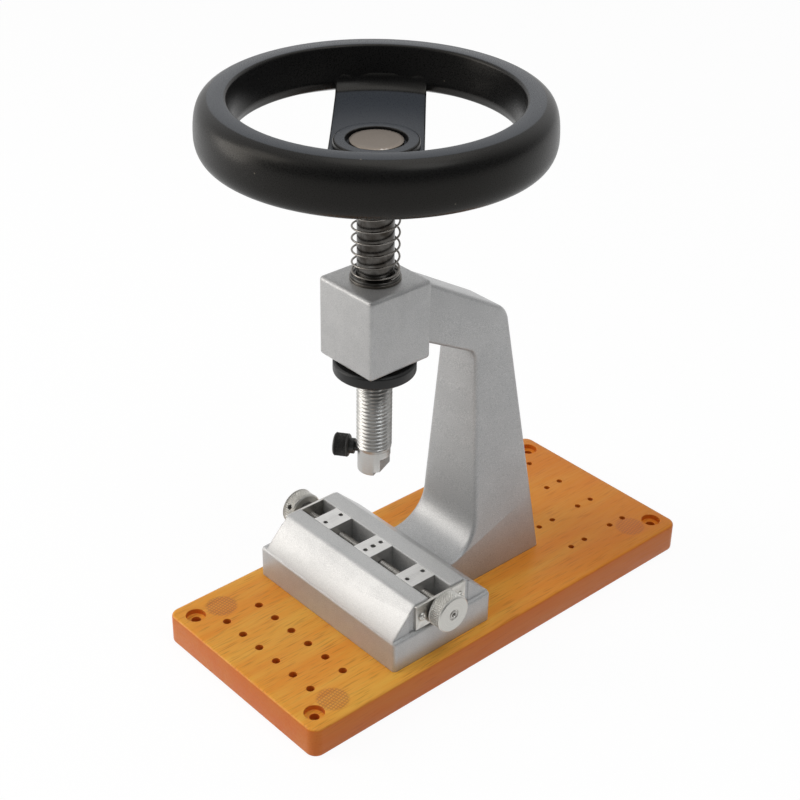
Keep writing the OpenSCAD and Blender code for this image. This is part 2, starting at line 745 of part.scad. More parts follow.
module spindle() {
    edge = 0.6;
    color([0.3, 0.3, 0.31]) difference() {
        turned_part([[0, stem_joint + stud_l], [stud_d / 2, stem_joint + stud_l],
            [stud_d / 2, stem_joint], [spindle_d / 2, stem_joint], [spindle_d / 2, hub_bottom - edge - top_seat_t],
            [spindle_d / 2 - edge, hub_bottom - top_seat_t],
            [tail_d / 2, hub_bottom - top_seat_t], [tail_d / 2, tail_top], [wheel_bolt_d / 2, tail_top],
            [wheel_bolt_d / 2, bolt_bottom], [0, bolt_bottom]]);
        wheel_pin_hole();
    }
}

module wheel_pin() {
    color("gray") translate([0, axis_y, pin_z]) rotate([0, 90, web_turn])
        cylinder(h = boss_d - 4 * boss_draft, d = wheel_pin_d, center = true, $fn = ROUND / 2);
}

module wheel_washer() {
    color("silver") ring(plug_d - 2, wheel_bolt_d + 2 * screw_clear, pocket_floor, bolt_washer_t);
}

module wheel_bolt() {
    head_z = pocket_floor + bolt_washer_t;
    head_h = 3.2;
    color("dimgray") difference() {
        turned_part([[0, bolt_bottom], [wheel_bolt_d / 2, bolt_bottom],
            [wheel_bolt_d / 2, head_z], [wheel_bolt_d * 0.9, head_z], [wheel_bolt_d * 0.9, head_z + head_h],
            [0, head_z + head_h]]);
        translate([0, axis_y, head_z + 1]) cylinder(h = head_h, d = wheel_bolt_d * 0.6, $fn = 6);
    }
}

// Stem: threaded below the head, with a plain end that holds a die in a socket
flat_turn = 22;                                   // bearing of the flat, in degrees
thread_chamfer = 0.8;
module stem() {
    flat_in = stem_end_d / 2 - stem_flat_h;
    notch_in = socket_d / 2 - 1.5;
    color("lightgray") difference() {
        turned_part([[0, stem_bottom + socket_h], [socket_d / 2, stem_bottom + socket_h],
            [socket_d / 2, stem_bottom], [stem_end_d / 2 - 0.4, stem_bottom], [stem_end_d / 2, stem_bottom + 0.4],
            [stem_end_d / 2, thread_bottom], [spindle_d / 2 - thread_chamfer, thread_bottom],
            [spindle_d / 2, thread_bottom + thread_chamfer], [spindle_d / 2, stem_joint],
            [stud_d / 2, stem_joint], [stud_d / 2, stem_joint + stud_l], [0, stem_joint + stud_l]]);
        translate([0, axis_y, stem_bottom]) rotate([0, 0, flat_turn]) {
            translate([flat_in, -spindle_d, -1]) cube([spindle_d, 2 * spindle_d, stem_flat_l + 1]);
            translate([notch_in, -spindle_d, -1]) cube([spindle_d, 2 * spindle_d, notch_h + 1]);
        }
        thumb_place() cylinder(h = spindle_d, d = thumb_d + 2 * run_clear, $fn = ROUND / 2);
    }
}

// Stop nut and its fibre washer
module stop_washer() {
    color([0.2, 0.18, 0.17]) ring(stop_washer_d, spindle_d + 2 * screw_clear, nut_top, stop_washer_t);
}

module stop_nut() {
    edge = 0.9;
    color([0.1, 0.1, 0.1]) turned_part([[spindle_hole_d / 2, nut_bottom], [nut_d / 2 - edge, nut_bottom],
        [nut_d / 2, nut_bottom + edge], [nut_d / 2, nut_top - edge], [nut_d / 2 - edge, nut_top],
        [spindle_hole_d / 2, nut_top]]);
}

// Thumb screw and the brass tip that it presses on the die, both along one radius of the stem
tip_in = socket_d / 2 + run_clear;
tip_l = 2.6;
neck_d = 8;
clamp_travel = 0.8;                               // reach of the tip into the socket
module thumb_place() {
    translate([0, axis_y, thumb_z]) rotate([0, 0, thumb_turn]) rotate([0, 90, 0]) children();
}

module thumb_screw() {
    edge = 0.8;
    neck_at = spindle_d / 2 + clamp_travel + 0.1;
    shank_at = tip_in + tip_l;
    head_end = thumb_head_at + thumb_head_l;
    color([0.1, 0.1, 0.1]) thumb_place() rotate_extrude($fn = ROUND) polygon([[0, shank_at],
        [thumb_d / 2, shank_at], [thumb_d / 2, neck_at], [neck_d / 2, neck_at], [neck_d / 2, thumb_head_at],
        [thumb_head_d / 2 - edge, thumb_head_at], [thumb_head_d / 2, thumb_head_at + edge],
        [thumb_head_d / 2, head_end - edge], [thumb_head_d / 2 - edge, head_end], [0, head_end]]);
}

module clamp_tip() {
    color("goldenrod") thumb_place() translate([0, 0, tip_in])
        cylinder(h = tip_l, d = thumb_d - 0.4, $fn = ROUND / 2);
}

// Vise mechanism
block_bottom = plinth_top;
jaw_lift = 0.2;

// Lying shaft piece on the leadscrew's axis from x1 to x2
module lying(x1, x2, d, steps = ROUND / 2) {
    translate([x1, axis_y, leadscrew_z]) rotate([0, 90, 0]) cylinder(h = x2 - x1, d = d, $fn = steps);
}

module jaw(at, middle_d, side_clear, lift) {
    w = slot_w - 2 * side_clear;
    bottom = block_bottom + lift;
    difference() {
        translate([at - jaw_l / 2, axis_y - w / 2, bottom]) cube([jaw_l, w, vise_top - bottom]);
        lying(at - jaw_l, at + jaw_l, leadscrew_d + 2 * run_clear);
        for (side = [-1, 1]) translate([at, axis_y + side * pin_gap / 2, vise_top - pin_hole_h])
            cylinder(h = pin_hole_h + 1, d = pin_hole_d, $fn = ROUND / 2);
        if (middle_d > 0) translate([at, axis_y, vise_top - pin_hole_h])
            cylinder(h = pin_hole_h + 1, d = middle_d, $fn = ROUND / 2);
    }
}

module left_jaw() {
    color("gainsboro") jaw(-jaw_at, 0, slide_clear, jaw_lift);
}

module right_jaw() {
    color("gainsboro") jaw(jaw_at, 0, slide_clear, jaw_lift);
}

module centre_block() {
    color("gainsboro") jaw(0, middle_hole_d, 0, 0);
}

module leadscrew() {
    thread_end = vise_end - end_play;
    neck_half = jaw_l / 2 + 0.5;
    color("lightgray") union() {
        lying(-left_knob_out, knob_out, journal_d);
        for (end = [-1, 1]) translate([end > 0 ? neck_half : -thread_end, axis_y, leadscrew_z])
            rotate([0, 90, 0]) cylinder(h = thread_end - neck_half, d = leadscrew_d, $fn = ROUND / 2);
    }
}

module end_plate(end) {
    inner = end > 0 ? vise_end : -plate_out;
    difference() {
        translate([inner, axis_y - plate_w / 2, leadscrew_z - plate_h / 2]) cube([plate_t, plate_w, plate_h]);
        lying(inner - 1, inner + plate_t + 1, journal_d + 2 * run_clear);
        at_plate_screws() translate([0, 0, -1])
            cylinder(h = plate_t + 2, d = plate_screw_d + screw_clear, $fn = ROUND / 2);
    }
}

module left_end_plate() {
    color("gainsboro") end_plate(-1);
}

module right_end_plate() {
    color("gainsboro") end_plate(1);
}

module end_plate_screws() {
    head_h = plate_screw_d * 0.6;
    head_d = plate_screw_d * 1.9;
    color("gainsboro") at_plate_screws() difference() {
        union() {
            translate([0, 0, plate_t - plate_screw_l])
                cylinder(h = plate_screw_l, d = plate_screw_d, $fn = ROUND / 2);
            translate([0, 0, plate_t]) cylinder(h = head_h, d = head_d, $fn = ROUND / 2);
        }
        translate([-head_d, -0.3, plate_t + head_h / 2]) cube([2 * head_d, 0.6, head_h]);
    }
}

module knob_washers() {
    color("dimgray") difference() {
        union() {
            lying(-left_knob_in, -washer_in, knob_washer_d);
            lying(washer_in, knob_in, knob_washer_d);
        }
        lying(-left_knob_out, knob_out, journal_d);
    }
}

set_screw_d = 3;
set_screw_turn = [60, 250];                       // bearing of the left and the right knob's set screw
set_screw_in = knob_l * 0.45;

module at_set_screw(end) {
    turn = end < 0 ? set_screw_turn[0] : set_screw_turn[1];
    translate([end * (knob_at(end) + set_screw_in), axis_y, leadscrew_z]) rotate([turn, 0, 0]) children();
}

function knob_at(end) = end < 0 ? left_knob_in : knob_in;

module knob(end) {
    edge = 0.9;
    dish_d = journal_d + 1.6;
    dish_h = 0.6;
    difference() {
        translate([end * knob_at(end), axis_y, leadscrew_z]) rotate([0, end * 90, 0])
            rotate_extrude($fn = ROUND) polygon([[journal_d / 2, 0], [knob_d / 2 - edge, 0],
                [knob_d / 2, edge], [knob_d / 2, knob_l - edge], [knob_d / 2 - edge, knob_l],
                [dish_d / 2, knob_l], [dish_d / 2, knob_l - dish_h], [journal_d / 2, knob_l - dish_h]]);
        at_set_screw(end) cylinder(h = knob_d, d = set_screw_d, $fn = ROUND / 2);
    }
}

module left_knob() {
    color("whitesmoke") knob(-1);
}

module right_knob() {
    color("whitesmoke") knob(1);
}

module knob_set_screws() {
    screw_l = 5;
    color("dimgray") for (end = [-1, 1]) at_set_screw(end) translate([0, 0, journal_d / 2 + 0.1]) difference() {
        cylinder(h = screw_l, d = set_screw_d, $fn = ROUND / 2);
        translate([0, 0, screw_l - 1.5]) cylinder(h = 2, d = set_screw_d / 2, $fn = 6);
    }
}

base_board();
frame_casting();
frame_screws();
frame_washers();
upper_bush();
lower_bush();
lower_spring_seat();
return_spring();
upper_spring_seat();
handwheel();
hub_cap();
wheel_bolt();
wheel_washer();
wheel_pin();
spindle();
stem();
stop_washer();
stop_nut();
thumb_screw();
clamp_tip();
leadscrew();
left_jaw();
right_jaw();
centre_block();
left_end_plate();
right_end_plate();
end_plate_screws();
left_knob();
right_knob();
knob_washers();
knob_set_screws();
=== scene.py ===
"""Looks, stage and camera for the bench watch case opener.

Every shape is in metres in the packed model's own frame: X to the operator's right,
Y along the board to the column and Z up. Sizes written in millimetres are multiplied by MM.
"""

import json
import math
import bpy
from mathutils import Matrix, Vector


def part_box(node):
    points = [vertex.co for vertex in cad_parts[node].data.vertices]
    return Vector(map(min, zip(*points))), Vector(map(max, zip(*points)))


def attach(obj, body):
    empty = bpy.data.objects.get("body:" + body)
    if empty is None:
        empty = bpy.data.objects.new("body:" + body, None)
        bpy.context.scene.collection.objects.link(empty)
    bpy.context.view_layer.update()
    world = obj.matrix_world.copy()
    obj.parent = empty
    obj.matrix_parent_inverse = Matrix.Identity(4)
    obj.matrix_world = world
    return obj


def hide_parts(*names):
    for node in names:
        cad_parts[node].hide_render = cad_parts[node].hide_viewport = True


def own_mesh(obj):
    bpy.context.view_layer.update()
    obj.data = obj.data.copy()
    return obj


bl_info = {
    "name": "Bench watch case opener",
    "version": (1, 0, 0),
    "blender": (4, 5, 0),
    "location": "3D View > Sidebar > Case opener",
    "description": "Dresses the packed case opener and sets up its stage",
    "category": "Object",
}

import bmesh
import bpy
import numpy as np
from bpy.props import FloatProperty, FloatVectorProperty, IntProperty, PointerProperty
from mathutils import Matrix, Vector

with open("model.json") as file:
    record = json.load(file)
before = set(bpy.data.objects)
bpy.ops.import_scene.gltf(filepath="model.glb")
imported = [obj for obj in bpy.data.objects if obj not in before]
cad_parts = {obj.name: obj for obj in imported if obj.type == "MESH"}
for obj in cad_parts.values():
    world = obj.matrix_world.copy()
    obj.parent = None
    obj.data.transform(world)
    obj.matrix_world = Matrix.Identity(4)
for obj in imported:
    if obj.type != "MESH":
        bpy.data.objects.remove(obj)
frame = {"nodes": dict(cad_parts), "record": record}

MM = 0.001
BODY_OF = {
    node: body
    for body, nodes in frame["record"]["behaviour"]["bodies"].items()
    for node in nodes
}


def low_z(node):
    """Lowest point of a CAD node."""
    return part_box(node)[0].z


def high_z(node):
    """Highest point of a CAD node."""
    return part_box(node)[1].z


def middle(node):
    """Centre of a CAD node's box."""
    low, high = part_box(node)
    return (low + high) / 2


# Lines that the turned pieces lie on
AXIS = Vector((0.0, middle("spindle").y, 0.0))
ON_AXIS = Matrix.Translation(AXIS)
SCREW_LINE = middle("leadscrew")
THUMB_TURN = math.radians(217)
THUMB_Z = low_z("stem") + 11.3 * MM


def srgb(r, g, b):
    """Linear colour of a display colour given from 0 to 255."""
    c = np.array([r, g, b]) / 255
    return tuple(np.where(c <= 0.04045, c / 12.92, ((c + 0.055) / 1.055) ** 2.4))


def tint(name, description, rgb):
    """Colour property with its default given as a display colour."""
    return FloatVectorProperty(
        name=name, description=description, default=srgb(*rgb), subtype="COLOR", min=0, max=1
    )


def length(name, description, default):
    """Length property, in metres."""
    return FloatProperty(
        name=name, description=description, default=default, min=0, unit="LENGTH", subtype="DISTANCE"
    )


def bearing(name, description, degrees):
    """Angle property with its default given in degrees."""
    return FloatProperty(
        name=name, description=description, default=math.radians(degrees), subtype="ANGLE"
    )


def power(name, description, watts):
    """Power of a lamp."""
    return FloatProperty(name=name, description=description, default=watts, min=0, unit="POWER")


class BoardLooks(bpy.types.PropertyGroup):
    """Colours and edges of the wooden board"""

    light_wood: tint("Light wood", "Lacquered wood between the grain lines", (255, 190, 78))
    deep_wood: tint("Deep wood", "Lacquered wood in the darker bands", (250, 156, 50))
    pore: tint("Pores", "Short streaks along the grain", (186, 106, 30))
    # Painted shade: the colour that the board's rear half is darkened towards, standing for the shade that
    # falls there
    rear_painted_shade: tint("Rear painted shade", "Painted shade darkening the board's rear half", (212, 114, 26))
    end_grain: tint("End grain", "Redder wood of the board's edges", (208, 94, 28))
    pad_mark: tint("Pad marks", "Hatched marks that rubber pads left", (188, 104, 62))
    hole_edge: length("Hole edge", "Rounding of the drilled holes", 0.25 * MM)


class CastingLooks(bpy.types.PropertyGroup):
    """Paint and edges of the casting"""

    paint: tint("Paint", "Silver paint", (196, 196, 195))
    paint_dark: tint("Paint shade", "Silver paint where the flakes lie darker", (160, 160, 161))
    edge: length("Edge", "Rounding of the casting's plain edges", 0.17 * MM)
    soft_edge: length("Soft edge", "Edge rounding that the paint is shaded with", 1.5 * MM)


class WheelLooks(bpy.types.PropertyGroup):
    """Shape and coating of the handwheel"""

    coating: tint("Coating", "Satin black coating", (18, 18, 18))
    # Painted sheen: the colour that up-facing surfaces of the wheel are lightened towards, standing for the
    # overhead light they reflect
    painted_sheen: tint("Painted sheen", "Thin haze on what faces up", (64, 68, 74))
    rim_depth: length("Depth of the rim", "Height of the rim", 25.8 * MM)
    rim_flat: length("Flat of the rim", "Width of the rim's flat top", 8.3 * MM)
    rim_bulge: length("Bulge of the rim", "Bulge outside the flat top", 7 * MM)
    web_width: length("Web width", "Width of the web", 44 * MM)
    web_turn: bearing("Web bearing", "Bearing of the web", 137)
    around: IntProperty(name="Steps", description="Steps round the wheel", default=240, min=48)


class MetalLooks(bpy.types.PropertyGroup):
    """Colours of the steel parts"""

    bright: tint("Bright steel", "Stem", (198, 197, 194))
    plated: tint("Plated steel", "Knobs and plate screws", (218, 216, 210))
    plate: tint("Plate steel", "End plates", (184, 181, 174))
    cap: tint("Cap steel", "Hub cap", (140, 130, 120))
    jaw: tint("Jaw steel", "Machined jaws and centre block", (204, 203, 201))
    leadscrew: tint("Leadscrew steel", "Leadscrew", (158, 154, 148))
    gunmetal: tint("Gunmetal", "Spindle, spring seats, wheel bolt and knob washers", (50, 45, 40))
    bronze: tint("Dark bronze", "Bushes in the head", (84, 76, 66))
    wire: tint("Spring wire", "Return spring", (92, 84, 74))
    black: tint("Black oxide", "Stop nut and screws", (20, 20, 20))
    thumb: tint("Thumb screw oxide", "Thumb screw", (32, 32, 30))
    brass: tint("Brass", "Tip of the thumb screw", (198, 160, 84))
    fibre: tint("Fibre", "Washer of the stop nut", (62, 52, 46))


class ThreadLooks(bpy.types.PropertyGroup):
    """Threads, knurls and the spring's wire"""

    stem_pitch: length("Stem pitch", "Rise of the stem's thread in one turn", 2.1 * MM)
    stem_depth: length("Stem depth", "Depth of the stem's thread", 0.85 * MM)
    lead_pitch: length("Leadscrew pitch", "Rise of the leadscrew's threads in one turn", 1.25 * MM)
    lead_depth: length("Leadscrew depth", "Depth of the leadscrew's threads", 0.5 * MM)
    knurl_depth: length("Knurl depth", "Depth of the knurls", 0.58 * MM)
    wire: length("Wire", "Diameter of the spring's wire", 1 * MM)
    curls: FloatProperty(name="Curls", description="Curls of the spring", default=8.25, min=2)


class StageLooks(bpy.types.PropertyGroup):
    """Camera, lamps and floor"""

    azimuth: bearing("Azimuth", "Camera bearing", 47.774)
    elevation: bearing("Elevation", "Camera elevation", 31.074)
    roll: bearing("Roll", "Camera roll", 1.038)
    centre: FloatVectorProperty(
        name="Place",
        description="Place of the camera",
        default=(0.5149, -0.49462, 0.55385),
        subtype="TRANSLATION",
        unit="LENGTH",
    )
    lens: FloatProperty(name="Lens", description="Focal length on a 36 mm sensor", default=72.3, min=1)
    key: power("Key lamp", "Power of the key lamp", 4.8)
    low: power("Low lamp", "Power of the low front lamp", 9.5)
    side: power("Side lamp", "Power of the side lamp", 4.5)
    top: power("Top lamp", "Power of the top lamp", 6)
    around: FloatProperty(
        name="Surroundings", description="Strength of the plain surroundings", default=0.27, min=0
    )


LOOKS = {
    "opener_board": BoardLooks,
    "opener_casting": CastingLooks,
    "opener_wheel": WheelLooks,
    "opener_metal": MetalLooks,
    "opener_thread": ThreadLooks,
    "opener_stage": StageLooks,
}


# Surfaces on grids


def grid_faces(rows, cols, loop_rows, loop_cols):
    """Each grid cell as a quad of point numbers. The last row or column joins the first where
    looped."""
    u = np.arange(rows if loop_rows else rows - 1)[:, None]
    v = np.arange(cols if loop_cols else cols - 1)[None, :]
    u2, v2 = (u + 1) % rows, (v + 1) % cols
    corners = (u * cols + v, u2 * cols + v, u2 * cols + v2, u * cols + v2)
    return np.stack([np.broadcast_to(c, (u.size, v.size)) for c in corners], -1).reshape(-1, 4)


def mesh_of(name, shells, sharp):
    """One mesh from closed shells, each a grid of points with its two loop flags. Poles and seams
    are merged, faces turned outwards and edges over the sharp angle, in degrees, kept crisp."""
    points, faces, count = [], [], 0
    for grid, loop_rows, loop_cols in shells:
        faces.append(grid_faces(*grid.shape[:2], loop_rows, loop_cols) + count)
        points.append(grid.reshape(-1, 3))
        count += len(points[-1])
    mesh = bpy.data.meshes.new(name)
    mesh.from_pydata(np.concatenate(points).tolist(), [], np.concatenate(faces).tolist())
    work = bmesh.new()
    work.from_mesh(mesh)
    bmesh.ops.remove_doubles(work, verts=work.verts, dist=2e-6)
    bmesh.ops.dissolve_degenerate(work, edges=work.edges, dist=1e-7)
    bmesh.ops.recalc_face_normals(work, faces=work.faces)
    work.to_mesh(mesh)
    work.free()
    return smoothed(mesh, sharp)


def smoothed(mesh, sharp):
    """The mesh shaded smooth, apart from edges over the sharp angle."""
    mesh.polygons.foreach_set("use_smooth", np.ones(len(mesh.polygons), bool))
    mesh.set_sharp_from_angle(angle=math.radians(sharp))
    return mesh


def new_piece(mesh):
    """Object with this mesh, named after it, at the origin."""
    piece = bpy.data.objects.new(mesh.name, mesh)
    bpy.context.scene.collection.objects.link(piece)
    return piece


def in_mm(corners):
    """Corners given in millimetres, as an array in metres."""
    return np.array(corners, float) * MM


def eased(corners, closed=False, steps=5):
    """Outline through corners (radius, height, rounding). Each is rounded by a quadratic curve that
    starts and ends its rounding away from it, or at 45% of a short side."""
    corners = np.array(corners, float)
    at, line = corners[:, :2], []
    for i, rounding in enumerate(corners[:, 2]):
        if rounding == 0 or (not closed and i in (0, len(at) - 1)):
            line.append(at[i][None])
            continue
        before, after = at[i - 1] - at[i], at[(i + 1) % len(at)] - at[i]
        reach = min(rounding, 0.45 * min(np.linalg.norm(before), np.linalg.norm(after)))
        start = at[i] + before / np.linalg.norm(before) * reach
        end = at[i] + after / np.linalg.norm(after) * reach
        t = np.linspace(0, 1, steps + 1)[:, None]
        line.append((1 - t) ** 2 * start + 2 * t * (1 - t) * at[i] + t * t * end)
    return np.concatenate(line)


def straight(radius, start, end, spacing):
    """Outline rows along a cylinder, at about this spacing."""
    height = np.linspace(start, end, max(2, int(round(abs(end - start) / spacing)) + 1))
    return np.stack([np.full_like(height, radius), height], -1)


def turned(outline, steps, bump=None):
    """Surface turned round the Z axis from an outline of (radius, height). bump(turn, height,
    radius) is added to the radius."""
    turn = np.linspace(0, 2 * np.pi, steps, endpoint=False)[None, :]
    radius, height = outline[:, 0][:, None], outline[:, 1][:, None]
    if bump is not None:
        radius = radius + bump(turn, height, radius)
    radius, height = np.broadcast_arrays(radius, height + 0 * turn)
    return np.stack([radius * np.cos(turn), radius * np.sin(turn), height], -1)


def placed(grid, matrix):
    """Grid of points moved by a 4x4 matrix."""
    m = np.array(matrix)
    return grid @ m[:3, :3].T + m[:3, 3]


def turned_piece(name, outline, steps, sharp, at=ON_AXIS, bump=None, closed=False):
    """Piece turned from an outline, which is closed or ends on the axis, and set in its place."""
    grid = placed(turned(outline, steps, bump), at)
    return new_piece(mesh_of(name, [(grid, closed, True)], sharp))


def wave(turns):
    """Triangle wave from 0 at whole numbers to 1 at the halves, with softened tips."""
    tri = 1 - np.abs(2 * (turns - np.floor(turns)) - 1)
    return tri * tri * (3 - 2 * tri) * 0.5 + tri * 0.5


def thread_bump(low, high, pitch, depth, fade=1.0):
    """Right-hand helical groove: the radius falls by depth between crests, one pitch apart, and the
    groove fades out within fade pitches of both ends."""

    def bump(turn, height, radius):
        ends = np.clip(np.minimum(height - low, high - height) / (fade * pitch), 0, 1)
        return -depth * ends * (1 - wave(height / pitch - turn / (2 * np.pi)))

    return bump


def knurl_bump(low, high, count, rise, depth):
    """Crossed diagonal grooves: two triangle waves of count ridges round the part, leaning both
    ways by one ridge in each rise of height. The lower of the two sets the depth."""

    def bump(turn, height, radius):
        ends = np.clip(np.minimum(height - low, high - height) / (0.35 * rise), 0, 1)
        around, along = count * turn / (2 * np.pi), (height - low) / rise
        return -depth * ends * (1 - np.minimum(wave(around + along), wave(around - along)))

    return bump


HAIR = 0.001 * MM  # less than any step between two radii


def outside(limit, bump):
    """The bump where the outline lies further out than limit, and none elsewhere."""
    return lambda turn, height, radius: np.where(radius > limit, bump(turn, height, radius), 0.0)


def box_shell(low, high, at):
    """Closed box between two corners, as a four-sided tube drawn to a point at both ends."""
    (x1, y1, z1), (x2, y2, z2) = low, high
    loop = np.array([[x1, y1], [x2, y1], [x2, y2], [x1, y2]])
    centre = np.array([[(x1 + x2) / 2, (y1 + y2) / 2]] * 4)
    levels = [(centre, z1), (loop, z1), (loop, z2), (centre, z2)]
    grid = np.stack([np.column_stack([p, np.full(4, z)]) for p, z in levels])
    return placed(grid, at), False, True


def hole_shell(radius, start, end, steps, at):
    """Closed cylinder along Z, for a drilled hole."""
    outline = np.array([[0, start], [radius, start], [radius, end], [0, end]])
    return placed(turned(outline, steps), at), False, True


SHARP = 38  # degrees between faces at which a cut edge is crisp


def cut_away(piece, shell, name):
    """Takes a closed shell away from a piece's mesh."""
    tool = new_piece(mesh_of(name, [shell], SHARP))
    cut = piece.modifiers.new(name, "BOOLEAN")
    cut.object, cut.operation, cut.solver = tool, "DIFFERENCE", "EXACT"
    bpy.context.view_layer.update()
    graph = bpy.context.evaluated_depsgraph_get()
    cut_mesh = bpy.data.meshes.new_from_object(piece.evaluated_get(graph))
    piece.modifiers.clear()
    old, cut_mesh.name = piece.data, piece.name
    piece.data = smoothed(cut_mesh, SHARP)
    bpy.data.meshes.remove(old)
    bpy.data.objects.remove(tool)


def settle(piece, finish, node):
    """Gives a piece its finish, sets it on the body of the node that it stands for and hides that
    node."""
    piece.data.materials.clear()
    piece.data.materials.append(finish)
    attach(piece, BODY_OF[node])
    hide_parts(node)


def dress(node, name, finish, edge, segments=2, angle=42, sharp=42):
    """Shows a CAD node as a copy in its finish, with loose triangles merged, flat faces joined and
    plain edges over the angle rounded."""
    mesh = frame["nodes"][node].data.copy()
    mesh.name = name
    work = bmesh.new()
    work.from_mesh(mesh)
    bmesh.ops.remove_doubles(work, verts=work.verts, dist=2e-6)
    bmesh.ops.dissolve_limit(work, angle_limit=math.radians(0.4), verts=work.verts, edges=work.edges)
    work.to_mesh(mesh)
    work.free()
    if "custom_normal" in mesh.attributes:
        mesh.attributes.remove(mesh.attributes["custom_normal"])
    piece = new_piece(smoothed(mesh, sharp))
    bevel = piece.modifiers.new("Rounded edges", "BEVEL")
    bevel.width, bevel.segments = edge, segments
    bevel.limit_method, bevel.angle_limit = "ANGLE", math.radians(angle)
    bevel.use_clamp_overlap = False
    bevel.harden_normals = True
    bevel.miter_outer = "MITER_ARC"
    settle(piece, finish, node)


# Shader nodes


def add(tree, kind, inputs=None, **settings):
    """New node with its settings and inputs. A socket as an input is linked."""
    node = tree.nodes.new(kind)
    for key, value in settings.items():
        setattr(node, key, value)
    for key, value in (inputs or {}).items():
        if isinstance(value, bpy.types.NodeSocket):
            tree.links.new(value, node.inputs[key])
        else:
            node.inputs[key].default_value = value
    return node


def maths(tree, operation, a, b=0.0, clamp=False):
    """Result of a Math node on two numbers or sockets."""
    node = add(tree, "ShaderNodeMath", {0: a, 1: b}, operation=operation, use_clamp=clamp)
    return node.outputs[0]


def plus(tree, a, b):
    return maths(tree, "ADD", a, b)


def minus(tree, a, b):
    return maths(tree, "SUBTRACT", a, b)


def times(tree, a, b):
    return maths(tree, "MULTIPLY", a, b)


def mixed(tree, a, b, share):
    """Weighted mean of a, by its share, and b, by the rest."""
    return plus(tree, times(tree, a, share), times(tree, b, 1 - share))


def vector_maths(tree, operation, inputs, output=0):
    """Result of a Vector Math node."""
    return add(tree, "ShaderNodeVectorMath", inputs, operation=operation).outputs[output]


def coordinates(tree, vector):
    """X, Y and Z of a vector."""
    return add(tree, "ShaderNodeSeparateXYZ", {0: vector}).outputs


def along_axis(tree, value):
    """Vector with this X, and 0 for Y and Z."""
    return add(tree, "ShaderNodeCombineXYZ", {0: value}).outputs[0]


def distance(tree, x, y):
    """Root of x squared plus y squared."""
    return maths(tree, "SQRT", plus(tree, times(tree, x, x), times(tree, y, y)))


def spread(tree, value, low, high, to_low=0.0, to_high=1.0):
    """Value taken from low..high to to_low..to_high, smoothly and within those ends."""
    inputs = {"Value": value, "From Min": low, "From Max": high, "To Min": to_low, "To Max": to_high}
    return add(tree, "ShaderNodeMapRange", inputs, interpolation_type="SMOOTHSTEP").outputs[0]


def blend(tree, factor, a, b):
    """Colour a where factor is 0 and b where it is 1. Each is a socket or a plain colour."""
    a, b = (c if isinstance(c, bpy.types.NodeSocket) else (*c, 1.0) for c in (a, b))
    return add(tree, "ShaderNodeMix", {0: factor, 6: a, 7: b}, data_type="RGBA").outputs[2]


def shade(colour, factor):
    """Colour made darker by a factor."""
    return tuple(c * factor for c in colour)


def noise(tree, vector, scale, detail=3.0, rough=0.5):
    """Noise from 0 to 1, with scale features to the metre."""
    inputs = {"Vector": vector, "Scale": scale, "Detail": detail, "Roughness": rough}
    return add(tree, "ShaderNodeTexNoise", inputs).outputs["Fac"]


def stretched(tree, vector, scale, place=(0, 0, 0), turn=(0, 0, 0)):
    """Coordinates moved, turned and scaled by a Mapping node."""
    inputs = {"Vector": vector, "Location": place, "Rotation": turn, "Scale": scale}
    return add(tree, "ShaderNodeMapping", inputs).outputs[0]


def upward(tree):
    """How far the surface faces up, from -1 to 1."""
    return coordinates(tree, add(tree, "ShaderNodeNewGeometry").outputs["Normal"])[2]


def effect(name, outputs, **inputs):
    """New node group with a Vector, more inputs with their defaults and the named outputs. Returns
    its tree, the sockets of its inputs and its output node."""
    tree = bpy.data.node_groups.new(name, "ShaderNodeTree")
    tree.interface.new_socket("Vector", in_out="INPUT", socket_type="NodeSocketVector")
    for label, default in inputs.items():
        socket = tree.interface.new_socket(label, in_out="INPUT", socket_type="NodeSocketFloat")
        socket.default_value = default
    for label in outputs:
        tree.interface.new_socket(label, in_out="OUTPUT", socket_type="NodeSocketFloat")
    return tree, tree.nodes.new("NodeGroupInput").outputs, tree.nodes.new("NodeGroupOutput")


def give(tree, out, **values):
    """Links values to the outputs of a group."""
    for label, value in values.items():
        tree.links.new(value, out.inputs[label])


def worn(tree, at, tone, colour, level, amount):
    """Tone with another colour on its raised edges."""
    wear = use(tree, "Edge wear", Vector=at, Level=level, Amount=amount)
    return blend(tree, wear["Mask"], tone, colour)


def dusty(tree, at, tone, colour, size, share):
    """Tone with specks of dust, which cover it by a share."""
    specks = use(tree, "Dust specks", Vector=at, Size=size)
    return blend(tree, times(tree, specks["Mask"], share), tone, colour)


def make_flakes():
    """Fine paint flakes: a tone from two noises and a height for the paint's orange peel."""
    tree, given, out = effect("Paint flakes", ["Tone", "Height"], Size=1.0)
    point = vector_maths(tree, "SCALE", {0: given["Vector"], "Scale": given["Size"]})
    fine = noise(tree, point, 2600, 2)
    peel = noise(tree, point, 700, 3)
    broad = noise(tree, point, 22, 4)
    tone = spread(tree, mixed(tree, fine, broad, 0.75), 0.32, 0.68)
    give(tree, out, Tone=tone, Height=plus(tree, fine, peel))


def make_wear():
    """Wear on raised edges: the mesh's pointiness over a level, broken up by noise. On the silver paint it
    also places a painted highlight.
    """
    tree, given, out = effect("Edge wear", ["Mask"], Level=0.52, Amount=1.0)
    point = add(tree, "ShaderNodeNewGeometry").outputs["Pointiness"]
    patchy = times(tree, noise(tree, given["Vector"], 160, 4, 0.6), 0.04)
    raised = minus(tree, plus(tree, point, patchy), given["Level"])
    mask = spread(tree, raised, 0.0, 0.05)
    give(tree, out, Mask=maths(tree, "MULTIPLY", mask, given["Amount"], clamp=True))


